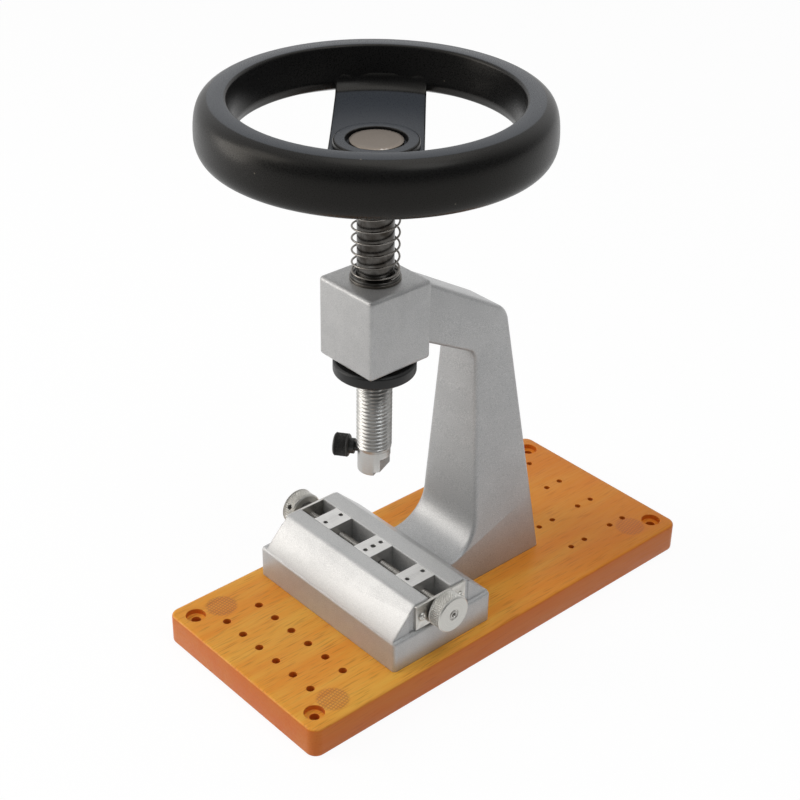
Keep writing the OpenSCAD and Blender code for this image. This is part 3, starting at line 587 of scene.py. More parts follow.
def make_wood():
    """Wood along Y: broad bands, narrow grain lines and short pores, all from stretched noises."""
    tree, given, out = effect("Wood grain", ["Band", "Line", "Pore", "Height"])
    vector = given["Vector"]
    warp = noise(tree, stretched(tree, vector, (1, 0.18, 1)), 34, 3)
    sideways = along_axis(tree, times(tree, warp, 0.012))
    bent = vector_maths(tree, "ADD", {0: vector, 1: sideways})
    bands = noise(tree, stretched(tree, bent, (1, 0.12, 1)), 62, 4, 0.55)
    lines = noise(tree, stretched(tree, bent, (1, 0.05, 1)), 620, 3, 0.6)
    pores = noise(tree, stretched(tree, vector, (1, 0.06, 1)), 1250, 2, 0.5)
    line, pore = spread(tree, lines, 0.36, 0.7), spread(tree, pores, 0.5, 0.75)
    height = minus(tree, times(tree, line, 0.25), pore)
    give(tree, out, Band=spread(tree, bands, 0.3, 0.7), Line=line, Pore=pore, Height=height)


def make_rings():
    """Turning marks: fine rings round the Z axis of the given coordinates, uneven in depth and
    spacing."""
    tree, given, out = effect("Turning marks", ["Mark"], Spacing=0.4 * MM)
    x, y, z = coordinates(tree, given["Vector"])
    across = plus(tree, distance(tree, x, y), times(tree, z, 0.83))
    place = along_axis(tree, maths(tree, "DIVIDE", across, given["Spacing"]))
    give(tree, out, Mark=noise(tree, place, 1.0, 3, 0.6))


def make_specks():
    """Sparse specks of dust: small dots in a few cells of a cellular pattern."""
    tree, given, out = effect("Dust specks", ["Mask"], Size=0.09)
    inputs = {"Vector": given["Vector"], "Scale": 190.0}
    cells = add(tree, "ShaderNodeTexVoronoi", inputs).outputs
    cell = add(tree, "ShaderNodeSeparateColor", {0: cells["Color"]}).outputs[0]
    chosen = maths(tree, "GREATER_THAN", cell, 0.9)
    near = spread(tree, cells["Distance"], times(tree, given["Size"], 0.4), given["Size"], 1, 0)
    give(tree, out, Mask=times(tree, near, chosen))


EFFECTS = {
    "Paint flakes": make_flakes,
    "Edge wear": make_wear,
    "Wood grain": make_wood,
    "Turning marks": make_rings,
    "Dust specks": make_specks,
}


def use(tree, name, **inputs):
    """One of the shared effects, built at its first use and placed in a material with its own
    values."""
    if name not in bpy.data.node_groups:
        EFFECTS[name]()
    group = bpy.data.node_groups[name]
    return add(tree, "ShaderNodeGroup", inputs, node_tree=group).outputs


def finish_of(name, slot, **numbers):
    """New material with a Principled shader whose plain numbers stand on its own sockets. Returns
    the material, its tree, the shader and the object coordinates."""
    material = bpy.data.materials.new(name)
    material["slot"] = slot
    material.use_nodes = True
    tree = material.node_tree
    shader = tree.nodes["Principled BSDF"]
    for label, value in numbers.items():
        shader.inputs[label.replace("_", " ")].default_value = value
    return material, tree, shader, add(tree, "ShaderNodeTexCoord").outputs["Object"]


def wire_up(tree, shader, colour, rough=None, height=None, bump=0.1, depth=0.2 * MM, edge=0):
    """Links colour, roughness and a height, through a Bump node, to the shader. An edge above 0
    shades sharp edges as if they were rounded by that radius."""
    tree.links.new(colour, shader.inputs["Base Color"])
    if rough is not None:
        tree.links.new(rough, shader.inputs["Roughness"])
    if height is not None:
        inputs = {"Strength": bump, "Distance": depth, "Height": height}
        if edge:
            inputs["Normal"] = add(tree, "ShaderNodeBevel", {"Radius": edge}).outputs[0]
        tree.links.new(add(tree, "ShaderNodeBump", inputs).outputs[0], shader.inputs["Normal"])


# Finishes

PAD_MARKS = ((-47, -110), (48, -112), (46, 111))  # places of the pad marks on the board, in mm
HATCH = 3600  # radians of the pad marks' hatching to the metre
HATCH_SLANT = 0.25

# Lighter colour on the paint's raised edges: partly wear, partly a painted highlight of the rounded edges
PAINT_WEAR_AND_HIGHLIGHT, PAINT_DUST = srgb(222, 222, 220), srgb(120, 118, 114)
WORN_BLACK, BLACK_DUST = srgb(92, 90, 86), srgb(150, 140, 128)
WORN_STEEL, WORN_JAW = srgb(236, 235, 232), srgb(240, 239, 236)
JAW_STAIN, JAW_SCRATCH = srgb(168, 166, 162), srgb(240, 240, 238)
PLATE_SCRATCH = srgb(238, 237, 232)

# Where the turning marks of a piece have their axis
RINGS_ON_AXIS = {"place": tuple(-AXIS)}
X_TO_Z = math.radians(-90)  # turn about Y
TURNED_LINE = Matrix.Rotation(X_TO_Z, 3, "Y") @ Vector((0, SCREW_LINE.y, SCREW_LINE.z))
RINGS_ALONG_X = {"turn": (0, X_TO_Z, 0), "place": tuple(-TURNED_LINE)}


def board_finish(looks):
    """Lacquered wood: bands, grain lines and pores, redder at the edges, with painted shade that
    darkens the rear, and three round hatched marks."""
    material, tree, shader, at = finish_of(
        "Lacquered wood", "board_wood", Coat_Weight=0.08, Coat_Roughness=0.3, Specular_IOR_Level=0.22
    )
    grain = use(tree, "Wood grain", Vector=at)
    x, y, _ = coordinates(tree, at)
    colour = blend(tree, grain["Band"], looks.light_wood, looks.deep_wood)
    colour = blend(tree, times(tree, grain["Line"], 0.35), colour, looks.deep_wood)
    colour = blend(tree, times(tree, grain["Pore"], 0.5), colour, looks.pore)
    edges = spread(tree, upward(tree), 0.35, 0.85, 1, 0)
    colour = blend(tree, times(tree, edges, 0.75), colour, looks.end_grain)
    # Painted shade: the wood darkens towards the rear, standing for the shade on the board's rear half
    colour = blend(tree, spread(tree, y, -50 * MM, 130 * MM, 0, 0.62), colour, looks.rear_painted_shade)
    for mark_x, mark_y in PAD_MARKS:
        dx, dy = minus(tree, x, mark_x * MM), minus(tree, y, mark_y * MM)
        inside = spread(tree, distance(tree, dx, dy), 7.2 * MM, 9.2 * MM, 1, 0)
        slants = (
            plus(tree, dx, times(tree, dy, HATCH_SLANT)),
            minus(tree, dy, times(tree, dx, HATCH_SLANT)),
        )
        lines = [spread(tree, maths(tree, "SINE", times(tree, s, HATCH)), 0.0, 0.9) for s in slants]
        hatch = plus(tree, 0.25, times(tree, maths(tree, "MAXIMUM", *lines), 0.75))
        mark = times(tree, times(tree, inside, hatch), 0.62)
        colour = blend(tree, mark, colour, looks.pad_mark)
    rough = spread(tree, grain["Line"], 0, 1, 0.34, 0.46)
    wire_up(tree, shader, colour, rough, grain["Height"], 0.25, 0.12 * MM)
    return material


def paint_finish(looks):
    """Silver paint: flakes in tone and gloss, orange peel, dust and lighter edges, part wear, part painted
    highlight.
    """
    material, tree, shader, at = finish_of(
        "Silver paint", "casting_metal", Metallic=0.45, Coat_Weight=0.3, Coat_Roughness=0.2
    )
    flakes = use(tree, "Paint flakes", Vector=at, Size=1.0)
    tone = blend(tree, flakes["Tone"], looks.paint_dark, looks.paint)
    # Raised edges lighter: partly wear, partly a painted highlight standing for light caught by the rounded
    # edges
    tone = worn(tree, at, tone, PAINT_WEAR_AND_HIGHLIGHT, 0.53, 0.35)
    tone = dusty(tree, at, tone, PAINT_DUST, 0.07, 0.35)
    rough = spread(tree, flakes["Tone"], 0, 1, 0.5, 0.4)
    wire_up(tree, shader, tone, rough, flakes["Height"], 0.12, 0.1 * MM, looks.soft_edge)
    return material


def black_finish(name, slot, colour, rough, speck=0.0, painted_sheen=None, **numbers):
    """Black coating or oxide: flakes in its tone and its lowest to highest roughness, worn edges
    and a little dust. A painted sheen, standing for reflected overhead light, lightens what faces up."""
    material, tree, shader, at = finish_of(name, slot, **numbers)
    flakes = use(tree, "Paint flakes", Vector=at, Size=0.8)
    lighter = tuple(min(1.0, c * 1.35 + 0.004) for c in colour)
    tone = blend(tree, flakes["Tone"], colour, lighter)
    if painted_sheen:
        # Painted sheen: what faces up is lightened towards the sheen colour, standing for reflected overhead
        # light
        tone = blend(tree, spread(tree, upward(tree), 0.93, 0.99, 0, 1), tone, painted_sheen)
    tone = worn(tree, at, tone, WORN_BLACK, 0.535, 0.3)
    if speck:
        tone = dusty(tree, at, tone, BLACK_DUST, speck, 0.4)
    gloss = spread(tree, flakes["Tone"], 0, 1, *rough)
    wire_up(tree, shader, tone, gloss, flakes["Height"], 0.18, 0.08 * MM)
    return material


def steel_finish(
    name, slot, colour, rough, turn=(0, 0, 0), place=(0, 0, 0), spacing=0.3 * MM, bump=0.12, metal=1.0
):
    """Turned or ground steel: rings round an axis in tone, in its lowest to highest roughness and
    in height, with worn edges."""
    material, tree, shader, at = finish_of(name, slot, Metallic=metal)
    local = stretched(tree, at, (1, 1, 1), place, turn)
    mark = use(tree, "Turning marks", Vector=local, Spacing=spacing)["Mark"]
    patch = noise(tree, at, 90, 4, 0.6)
    darker = shade(colour, 0.72)
    tone = blend(tree, spread(tree, mark, 0.3, 0.7), darker, colour)
    tone = blend(tree, spread(tree, patch, 0.55, 0.8, 0, 0.3), tone, darker)
    tone = worn(tree, at, tone, WORN_STEEL, 0.54, 0.3)
    gloss = spread(tree, mixed(tree, mark, patch, 0.6), 0.3, 0.7, *rough)
    wire_up(tree, shader, tone, gloss, mark, bump, 0.05 * MM)
    return material


def jaw_finish(colour):
    """Machined steel: fine milling lines across the jaw, stains, scratches and worn edges."""
    material, tree, shader, at = finish_of("Machined steel", "bright_steel", Metallic=0.85)
    milled = noise(tree, stretched(tree, at, (1, 0.06, 0.3)), 2600, 3, 0.6)
    scratch = noise(tree, stretched(tree, at, (0.05, 1, 1), turn=(0, 0, 0.6)), 1900, 2, 0.5)
    stain = noise(tree, at, 130, 4, 0.6)
    tone = blend(tree, spread(tree, milled, 0.3, 0.7), shade(colour, 0.8), colour)
    tone = blend(tree, spread(tree, stain, 0.5, 0.75, 0, 0.25), tone, JAW_STAIN)
    tone = blend(tree, spread(tree, scratch, 0.66, 0.74, 0, 0.4), tone, JAW_SCRATCH)
    tone = worn(tree, at, tone, WORN_JAW, 0.53, 0.4)
    rough = spread(tree, milled, 0.2, 0.8, 0.34, 0.5)
    wire_up(tree, shader, tone, rough, plus(tree, milled, scratch), 0.15, 0.04 * MM)
    return material


def plate_finish(colour, name="Plate plating"):
    """Plated sheet: faint blotches, fine scratches and worn edges."""
    material, tree, shader, at = finish_of(name, "plated", Metallic=0.9)
    patch, fine = noise(tree, at, 240, 5, 0.6), noise(tree, at, 1900, 3, 0.6)
    scratch = noise(tree, stretched(tree, at, (1, 0.07, 1), turn=(0.3, 0, 0.2)), 1500, 2, 0.5)
    tone = blend(tree, spread(tree, patch, 0.35, 0.7), colour, shade(colour, 0.74))
    tone = blend(tree, spread(tree, scratch, 0.64, 0.72, 0, 0.4), tone, PLATE_SCRATCH)
    tone = worn(tree, at, tone, WORN_JAW, 0.53, 0.4)
    rough = spread(tree, mixed(tree, patch, fine, 0.5), 0.3, 0.7, 0.24, 0.42)
    wire_up(tree, shader, tone, rough, plus(tree, fine, scratch), 0.12, 0.05 * MM)
    return material


# Pieces


class OPENER_OT_board(bpy.types.Operator):
    """Board of lacquered wood with its drilled holes"""

    bl_idname = "opener.board"
    bl_label = "Board"

    def execute(self, context):
        looks = context.scene.opener_board
        dress("base_board", "board", board_finish(looks), looks.hole_edge, angle=60)
        return {"FINISHED"}


class OPENER_OT_casting(bpy.types.Operator):
    """Painted casting of head, arm, column, foot and vise body"""

    bl_idname = "opener.casting"
    bl_label = "Casting"

    def execute(self, context):
        looks = context.scene.opener_casting
        paint = paint_finish(looks)
        dress("frame_casting", "casting", paint, looks.edge, angle=48, sharp=44)
        return {"FINISHED"}


class OPENER_OT_fastening(bpy.types.Operator):
    """Socket screws and washers under the board"""

    bl_idname = "opener.fastening"
    bl_label = "Screws under the board"

    def execute(self, context):
        looks = context.scene.opener_metal
        black = black_finish("Screw oxide", "dark_steel", looks.black, (0.36, 0.5), Metallic=0.6)
        plated = steel_finish("Washer plating", "plated", looks.plated, (0.25, 0.4))
        dress("frame_screws", "frame_screws_dressed", black, 0.2 * MM)
        dress("frame_washers", "frame_washers_dressed", plated, 0.2 * MM)
        return {"FINISHED"}


class OPENER_OT_bushes(bpy.types.Operator):
    """Bushes in the head and the washers under and over the spring"""

    bl_idname = "opener.bushes"
    bl_label = "Bushes and spring seats"

    def execute(self, context):
        looks = context.scene.opener_metal
        bronze = steel_finish("Dark bronze", "dark_steel", looks.bronze, (0.28, 0.42), **RINGS_ON_AXIS)
        seat = steel_finish("Spring seat steel", "dark_steel", looks.gunmetal, (0.25, 0.4), **RINGS_ON_AXIS)
        for node, finish in (
            ("upper_bush", bronze),
            ("lower_bush", bronze),
            ("lower_spring_seat", seat),
            ("upper_spring_seat", seat),
        ):
            dress(node, node + "_turned", finish, 0.18 * MM)
        return {"FINISHED"}


class OPENER_OT_spring(bpy.types.Operator):
    """Return spring of round wire with closed end curls"""

    bl_idname = "opener.spring"
    bl_label = "Return spring"

    def execute(self, context):
        looks, metal = context.scene.opener_thread, context.scene.opener_metal
        low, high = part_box("return_spring")
        wire, curls, height = looks.wire, looks.curls, high.z - low.z
        radius, end_rise = (high.x - low.x) / 2 - wire / 2, wire + 0.4 * MM
        turns = np.linspace(0, curls, int(curls * 56) + 1)
        rise = np.interp(
            turns, [0, 1, curls - 1, curls], [0, end_rise, height - wire - end_rise, height - wire]
        )
        turn = 2 * np.pi * turns
        path = np.stack([radius * np.cos(turn), radius * np.sin(turn), low.z + wire / 2 + rise], -1)
        grid = wire_grid(path + np.array(AXIS), wire / 2, 12)
        spring = new_piece(mesh_of("spring", [(grid, False, True)], 60))
        steel = steel_finish(
            "Spring wire", "spindle_steel", metal.wire, (0.22, 0.36), spacing=0.5 * MM, **RINGS_ON_AXIS
        )
        settle(spring, steel, "return_spring")
        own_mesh(spring)
        return {"FINISHED"}


def wire_grid(path, radius, sides):
    """Round wire along a path round the spindle's axis: a ring across the path's direction at each
    point, drawn to a point at both ends."""
    along = np.gradient(path, axis=0)
    along /= np.linalg.norm(along, axis=1, keepdims=True)
    out = np.stack([path[:, 0] - AXIS.x, path[:, 1] - AXIS.y, 0 * path[:, 2]], -1)
    out -= along * np.sum(out * along, 1, keepdims=True)
    out /= np.linalg.norm(out, axis=1, keepdims=True)
    side = np.cross(along, out)
    turn = np.linspace(0, 2 * np.pi, sides, endpoint=False)[None, :, None]
    rings = path[:, None] + radius * (out[:, None] * np.cos(turn) + side[:, None] * np.sin(turn))
    return with_ends(rings, path[0], path[-1])


def with_ends(rings, first, last):
    """Rings of points with one more at either end, where all its points lie on one."""
    count = rings.shape[1]
    ends = [np.repeat(point[None, None], count, 1) for point in (first, last)]
    return np.concatenate([ends[0], rings, ends[1]])


# Hub of the handwheel: its ring's radius, its height and the cap's depth in it
HUB_RING, HUB_TOP, CAP_DEPTH = 20.1 * MM, 24 * MM, 0.3 * MM


class OPENER_OT_handwheel(bpy.types.Operator):
    """Handwheel with its bulging rim, dished web and hub"""

    bl_idname = "opener.handwheel"
    bl_label = "Handwheel"

    def execute(self, context):
        looks = context.scene.opener_wheel
        low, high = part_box("handwheel")
        wheel_r, top = min(high.x, -low.x), high.z
        inner = wheel_r - looks.rim_bulge - looks.rim_flat
        rim = turned(rim_outline(looks, wheel_r, inner, top), looks.around)
        web = web_grid(looks, inner, top - looks.rim_depth)
        shells = [
            (placed(rim, ON_AXIS), True, True),
            (placed(turned(hub_outline(), 144), ON_AXIS), True, True),
            (placed(web, ON_AXIS @ Matrix.Rotation(looks.web_turn, 4, "Z")), False, True),
        ]
        wheel = new_piece(mesh_of("wheel", shells, 34))
        sheen = {"Specular_IOR_Level": 0.2, "Specular_Tint": (1, 0.95, 0.87, 1)}
        # The wheel's coating takes a painted sheen on what faces up
        coating = black_finish(
            "Wheel coating", "wheel_black", looks.coating, (0.26, 0.36), 0.1, looks.painted_sheen, **sheen
        )
        settle(wheel, coating, "handwheel")
        return {"FINISHED"}


def rim_outline(looks, wheel_r, inner, top):
    """Closed outline of the rim: a cubic curve from the crease at the flat top's edge out to the
    widest place, a quarter of an ellipse under it, and an inner wall that leans in to the top."""
    depth, crease = looks.rim_depth, wheel_r - looks.rim_bulge
    drop = 0.65 * depth
    pull = np.array(
        [
            (crease, top),
            (crease + 0.63 * looks.rim_bulge, top - 0.105 * drop),
            (wheel_r, top - 0.26 * drop),
            (wheel_r, top - drop),
        ]
    )
    t = np.linspace(0, 1, 19)[:, None]
    shares = ((1 - t) ** 3, 3 * t * (1 - t) ** 2, 3 * t * t * (1 - t), t**3)
    outer = sum(share * point for share, point in zip(shares, pull))
    quarter = np.pi / 2 * np.linspace(0, 1, 11)[1:]
    radius = wheel_r - 5.3 * MM * (1 - np.cos(quarter))
    under = np.stack([radius, top - drop - (depth - drop) * np.sin(quarter)], -1)
    lower_r, lower_z = inner - 2.8 * MM, top - 0.66 * depth
    wall = eased(
        [
            (*under[-1], 0),
            (lower_r + 1.5 * MM, lower_z - 4 * MM, 1 * MM),
            (lower_r, lower_z, 1.2 * MM),
            (inner, top, 1.6 * MM),
            (crease, top, 0),
        ],
        steps=7,
    )
    return np.concatenate([outer, under, wall[1:-1]])


def hub_outline():
    """Closed outline of the hub: drafted boss, ring and the recess round the cap."""
    corners = [
        (6, 0, 0), (15.5, 0, 1), (17, 14.9, 1.5), (20.1, 15.9, 0.8), (20.1, 24, 1.4),
        (14.2, 24, 0.7), (14.2, 21, 0.4), (10, 21, 0), (10, 12, 0), (6, 12, 0),
    ]  # fmt: skip
    return eased(in_mm(corners), closed=True) + [0, high_z("hub_cap") + CAP_DEPTH - HUB_TOP]


def web_grid(looks, inner, foot):
    """Web right across the wheel: a flat bar with rounded long edges. Its top and underside rise
    from the hub as a function of the distance from the axis, and the top turns up along the rim's
    wall."""
    hub_top = high_z("hub_cap") + CAP_DEPTH
    reach, half, edge = inner + 4 * MM, looks.web_width / 2, 0.9 * MM
    arc = np.linspace(0, np.pi / 2, 5)
    corner_y, corner_z = half - edge + edge * np.sin(arc), -edge * (1 - np.cos(arc))
    flat = np.linspace(-1, 1, 19) * (half - edge)
    # Once round the bar: top, right edge, underside and left edge
    y = np.concatenate(
        [flat, corner_y[1:], corner_y[::-1], flat[::-1], -corner_y[1:], -corner_y[::-1][:-1]]
    )
    drop = np.concatenate(
        [0 * flat, corner_z[1:], corner_z[::-1], 0 * flat, corner_z[1:], corner_z[::-1][:-1]]
    )
    upper = np.repeat([True, False, True], [len(flat) + 4, 5 + len(flat) + 4, 4])
    share = np.concatenate(
        [np.linspace(-1, -0.78, 36), np.linspace(-0.76, 0.76, 29), np.linspace(0.78, 1, 36)]
    )
    x = share[:, None] * np.sqrt(reach**2 - y[None, :] ** 2)
    far = np.hypot(x, y[None, :])
    rise = np.clip((far - HUB_RING) / (inner - 22.4 * MM), 0, 1)
    turn_up = np.clip((far - (inner - 9 * MM)) / (6.7 * MM), 0, 1)
    top = hub_top - 3.6 * MM + 4.4 * MM * rise
    top = top + 6.9 * MM * (1 - np.sqrt(1 - turn_up**2 * 0.999))
    hub_under, rim_under = hub_top - 9.1 * MM, foot + 1.8 * MM
    fall = np.clip((far - HUB_RING) / (inner + 6 * MM - HUB_RING), 0, 1)
    under = hub_under + (rim_under - hub_under) * fall
    z = np.where(upper[None, :], top + drop, under - drop)
    body = np.stack([x, y[None, :] + 0 * x, z], -1)
    return with_ends(body, body[0].mean(0), body[-1].mean(0))


class OPENER_OT_hub(bpy.types.Operator):
    """Cap, bolt, washer and driving pin in the hub"""

    bl_idname = "opener.hub"
    bl_label = "Hub cap and bolt"

    def execute(self, context):
        looks = context.scene.opener_metal
        corners = [
            (0, 0, 0), (11.2, -0.02, 0.6), (12.5, -0.37, 0.5), (12.7, -0.92, 0.2),
            (12.7, -2.72, 0), (10, -2.72, 0), (10, -5.72, 0), (8, -5.72, 0), (8, -2.72, 0),
            (0, -2.72, 0),
        ]  # fmt: skip
        cap = turned_piece("cap", eased(in_mm(corners) + [0, high_z("hub_cap"), 0]), 144, 50)
        steel = steel_finish("Cap steel", "bright_steel", looks.cap, (0.34, 0.46), bump=0.2, **RINGS_ON_AXIS)
        settle(cap, steel, "hub_cap")
        dark = steel_finish("Bolt steel", "dark_steel", looks.gunmetal, (0.3, 0.45), **RINGS_ON_AXIS)
        for node in ("wheel_bolt", "wheel_washer", "wheel_pin"):
            dress(node, node + "_dressed", dark, 0.15 * MM)
        return {"FINISHED"}


class OPENER_OT_spindle(bpy.types.Operator):
    """Ground spindle"""

    bl_idname = "opener.spindle"
    bl_label = "Spindle"

    def execute(self, context):
        looks = context.scene.opener_metal
        ground = steel_finish(
            "Ground spindle", "spindle_steel", looks.gunmetal, (0.2, 0.34), spacing=0.6 * MM, **RINGS_ON_AXIS
        )
        dress("spindle", "spindle_ground", ground, 0.15 * MM)
        return {"FINISHED"}


class OPENER_OT_stem(bpy.types.Operator):
    """Threaded stem with its plain end, flat, notch and die socket"""

    bl_idname = "opener.stem"
    bl_label = "Threaded stem"

    def execute(self, context):
        looks, metal = context.scene.opener_thread, context.scene.opener_metal
        foot, top = low_z("stem"), high_z("stem")
        joint, thread, stud_r, crest = top - 14 * MM, foot + 12.9 * MM, 5 * MM, 9 * MM
        socket = [(0, 22, 0), (5, 22, 0), (5, 0, 0.5), (8.4, 0, 0.5), (8.4, 11.9, 0)]
        line = np.concatenate(
            [
                eased(in_mm(socket) + [0, foot, 0], steps=4),
                in_mm([(8.4, 0), (8.45, 0.2), (8.9, 0.7)]) + [0, thread],
                straight(crest, thread + 0.9 * MM, joint, looks.stem_pitch / 12),
                [[stud_r, joint], [stud_r, top], [0, top]],
            ]
        )
        # The thread runs out at its foot alone
        groove = thread_bump(thread + 0.4 * MM, math.inf, looks.stem_pitch, looks.stem_depth, 0.7)
        stem = turned_piece("stem_threaded", line, 112, 45, bump=outside(8.5 * MM, groove))
        place = Matrix.Translation(AXIS + Vector((0, 0, foot))) @ Matrix.Rotation(math.radians(22), 4, "Z")
        clear = 12 * MM
        for depth, height in ((6.24 * MM, 9.2 * MM), (3.5 * MM, 2 * MM)):
            cut_away(
                stem, box_shell((depth, -clear, -1 * MM), (clear, clear, height), place), "flat_cut"
            )
        cut_away(stem, hole_shell(2.45 * MM, 0, 18 * MM, 40, thumb_place()), "thumb_hole")
        ground = {"spacing": 0.2 * MM, "bump": 0.08, "metal": 0.85, **RINGS_ON_AXIS}
        bright = steel_finish("Bright stem", "bright_steel", metal.bright, (0.28, 0.42), **ground)
        settle(stem, bright, "stem")
        return {"FINISHED"}


def thumb_place():
    """Place of the thumb screw's line: its Z axis points out of the stem."""
    return (
        Matrix.Translation((AXIS.x, AXIS.y, THUMB_Z))
        @ Matrix.Rotation(THUMB_TURN, 4, "Z")
        @ Matrix.Rotation(math.pi / 2, 4, "Y")
    )


class OPENER_OT_stop_nut(bpy.types.Operator):
    """Stop nut on the stem's thread, with its fibre washer"""

    bl_idname = "opener.stop_nut"
    bl_label = "Stop nut"

    def execute(self, context):
        looks = context.scene.opener_metal
        low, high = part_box("stop_nut")
        bore, r, h = 9.05 * MM, (high.x - low.x) / 2, high.z - low.z
        rim, edge = r - 1.1 * MM, 1 * MM
        corners = [
            (bore, 0, 0.3 * MM), (rim, 0, 0.4 * MM), (r, edge, 0.5 * MM), (r, h - edge, 0.5 * MM),
            (rim, h, 0.4 * MM), (bore, h, 0.3 * MM),
        ]  # fmt: skip
        line = eased(corners, closed=True) + [0, low.z]
        nut = turned_piece("nut", line, 160, 50, closed=True)
        oxide = black_finish(
            "Nut oxide", "nut_black", looks.black, (0.34, 0.46), 0.06, Specular_IOR_Level=0.35
        )
        settle(nut, oxide, "stop_nut")
        fibre = black_finish("Fibre", "fibre", looks.fibre, (0.6, 0.75))
        dress("stop_washer", "washer_fibre", fibre, 0.15 * MM)
        return {"FINISHED"}


class OPENER_OT_thumb_screw(bpy.types.Operator):
    """Knurled thumb screw and the brass tip that it presses on the die"""

    bl_idname = "opener.thumb_screw"
    bl_label = "Thumb screw"

    def execute(self, context):
        looks, metal = context.scene.opener_thread, context.scene.opener_metal
        head_r, low, high = 6 * MM, 13.5 * MM, 19.7 * MM
        start = [
            (0, 7.65, 0), (2.4, 7.65, 0.2), (2.4, 9.9, 0), (4, 9.9, 0.3), (4, 12.6, 0),
            (5.3, 12.6, 0.3), (6, 13.4, 0),
        ]  # fmt: skip
        end = [(6, 19.8, 0), (5.2, 20.6, 0.4), (2.2, 20.6, 0.3), (1.9, 20.3, 0.2), (0, 20.3, 0)]
        band = straight(head_r, low, high, 0.16 * MM)
        knurl = knurl_bump(low, high, 40, 1.05 * MM, looks.knurl_depth)
        line = np.concatenate([eased(in_mm(start)), band, eased(in_mm(end))])
        screw = turned_piece("thumb", line, 240, 60, thumb_place(), outside(head_r - HAIR, knurl))
        oxide = black_finish("Thumb screw oxide", "nut_black", metal.thumb, (0.4, 0.52))
        settle(screw, oxide, "thumb_screw")
        brass = steel_finish("Brass tip", "brass", metal.brass, (0.3, 0.45))
        dress("clamp_tip", "tip_brass", brass, 0.15 * MM)
        return {"FINISHED"}


class OPENER_OT_jaws(bpy.types.Operator):
    """The two jaws and the fixed centre block"""

    bl_idname = "opener.jaws"
    bl_label = "Jaws and centre block"

    def execute(self, context):
        steel = jaw_finish(context.scene.opener_metal.jaw)
        for node in ("left_jaw", "right_jaw", "centre_block"):
            dress(node, node + "_machined", steel, 0.22 * MM)
        return {"FINISHED"}


def on_screw_line(x, side=1, y=0.0):
    """Place at x on the leadscrew's line, or y beside it, with the Z axis turned to point along X,
    or against it for side -1."""
    place = Matrix.Translation((x, SCREW_LINE.y + y, SCREW_LINE.z))
    return place @ Matrix.Rotation(side * math.pi / 2, 4, "Y")


class OPENER_OT_leadscrew(bpy.types.Operator):
    """Leadscrew with a right-hand and a left-hand thread, and a centre hole in either end"""

    bl_idname = "opener.leadscrew"
    bl_label = "Leadscrew"

    def execute(self, context):
        looks, metal = context.scene.opener_thread, context.scene.opener_metal
        shoulder, neck, journal, crest = 51 * MM, 7 * MM, 2.25 * MM, 2.75 * MM
        edge = 0.3 * MM
        low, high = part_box("leadscrew")
        left, right = (
            np.concatenate(
                [
                    straight(crest, neck, shoulder, looks.lead_pitch / 10),
                    [[journal, shoulder], [journal, end - edge], [journal - edge, end]],
                    [0, end] + in_mm([(1.35, 0), (0.75, -1), (0.7, -2), (0, -2.2)]),
                ]
            )
            for end in (-low.x, high.x)
        )
        line = np.concatenate([left[::-1] * [1, -1], [[journal, -neck], [journal, neck]], right])
        groove = thread_bump(neck, shoulder, looks.lead_pitch, looks.lead_depth)

        def both_hands(turn, height, radius):
            return groove(turn * np.where(height > 0, 1, -1), np.abs(height), radius)

        bump = outside(journal + 0.1 * MM, both_hands)
        screw = turned_piece("leadscrew_threaded", line, 56, 50, on_screw_line(0), bump)
        steel = steel_finish("Leadscrew steel", "bright_steel", metal.leadscrew, (0.26, 0.4), **RINGS_ALONG_X)
        settle(screw, steel, "leadscrew")
        return {"FINISHED"}


class OPENER_OT_end_plates(bpy.types.Operator):
    """End plates of the vise and their round-head screws"""

    bl_idname = "opener.end_plates"
    bl_label = "End plates"

    def execute(self, context):
        looks = context.scene.opener_metal
        plated = plate_finish(looks.plate)
        for node in ("left_end_plate", "right_end_plate"):
            dress(node, node + "_pressed", plated, 0.25 * MM, segments=3)
        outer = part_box("right_end_plate")[1].x
        shells = [
            (placed(screw_head(), on_screw_line(side * outer, side, y)), False, True)
            for side in (-1, 1)
            for y in (-13 * MM, 13 * MM)
        ]
        heads = new_piece(mesh_of("plate_screws", shells, 50))
        settle(heads, plate_finish(looks.plated, "Screw plating"), "end_plate_screws")
        return {"FINISHED"}


def screw_head():
    """Pan-head screw along Z with its seat at 0: a shank, a domed head and a cross recess, whose
    depth falls off from the middle where the point lies within either arm of the cross."""
    head_r, rim = 2.375, 0.2
    shank = [[0, -5.3], [0.9, -5.3], [1.25, -4.9], [1.25, 0], [2.3, 0], [head_r, rim]]
    t = np.pi / 2 * np.linspace(0, 1, 13)
    dome = np.stack([head_r * np.cos(t) ** 0.8, rim + 1.3 * np.sin(t) ** 0.7], -1)
    grid = turned(np.concatenate([shank, dome]) * MM, 48)
    top = grid[len(shank) :]
    arm = np.minimum(np.abs(top[..., 0]), np.abs(top[..., 1]))
    far = np.hypot(top[..., 0], top[..., 1])
    recess = np.clip(1.6 - arm / (0.22 * MM), 0, 1) * np.clip(2.2 - far / (0.75 * MM), 0, 1)
    top[..., 2] -= 0.9 * MM * recess
    return grid


KNOB_EDGE = 0.8 * MM  # chamfer at either end of a knob


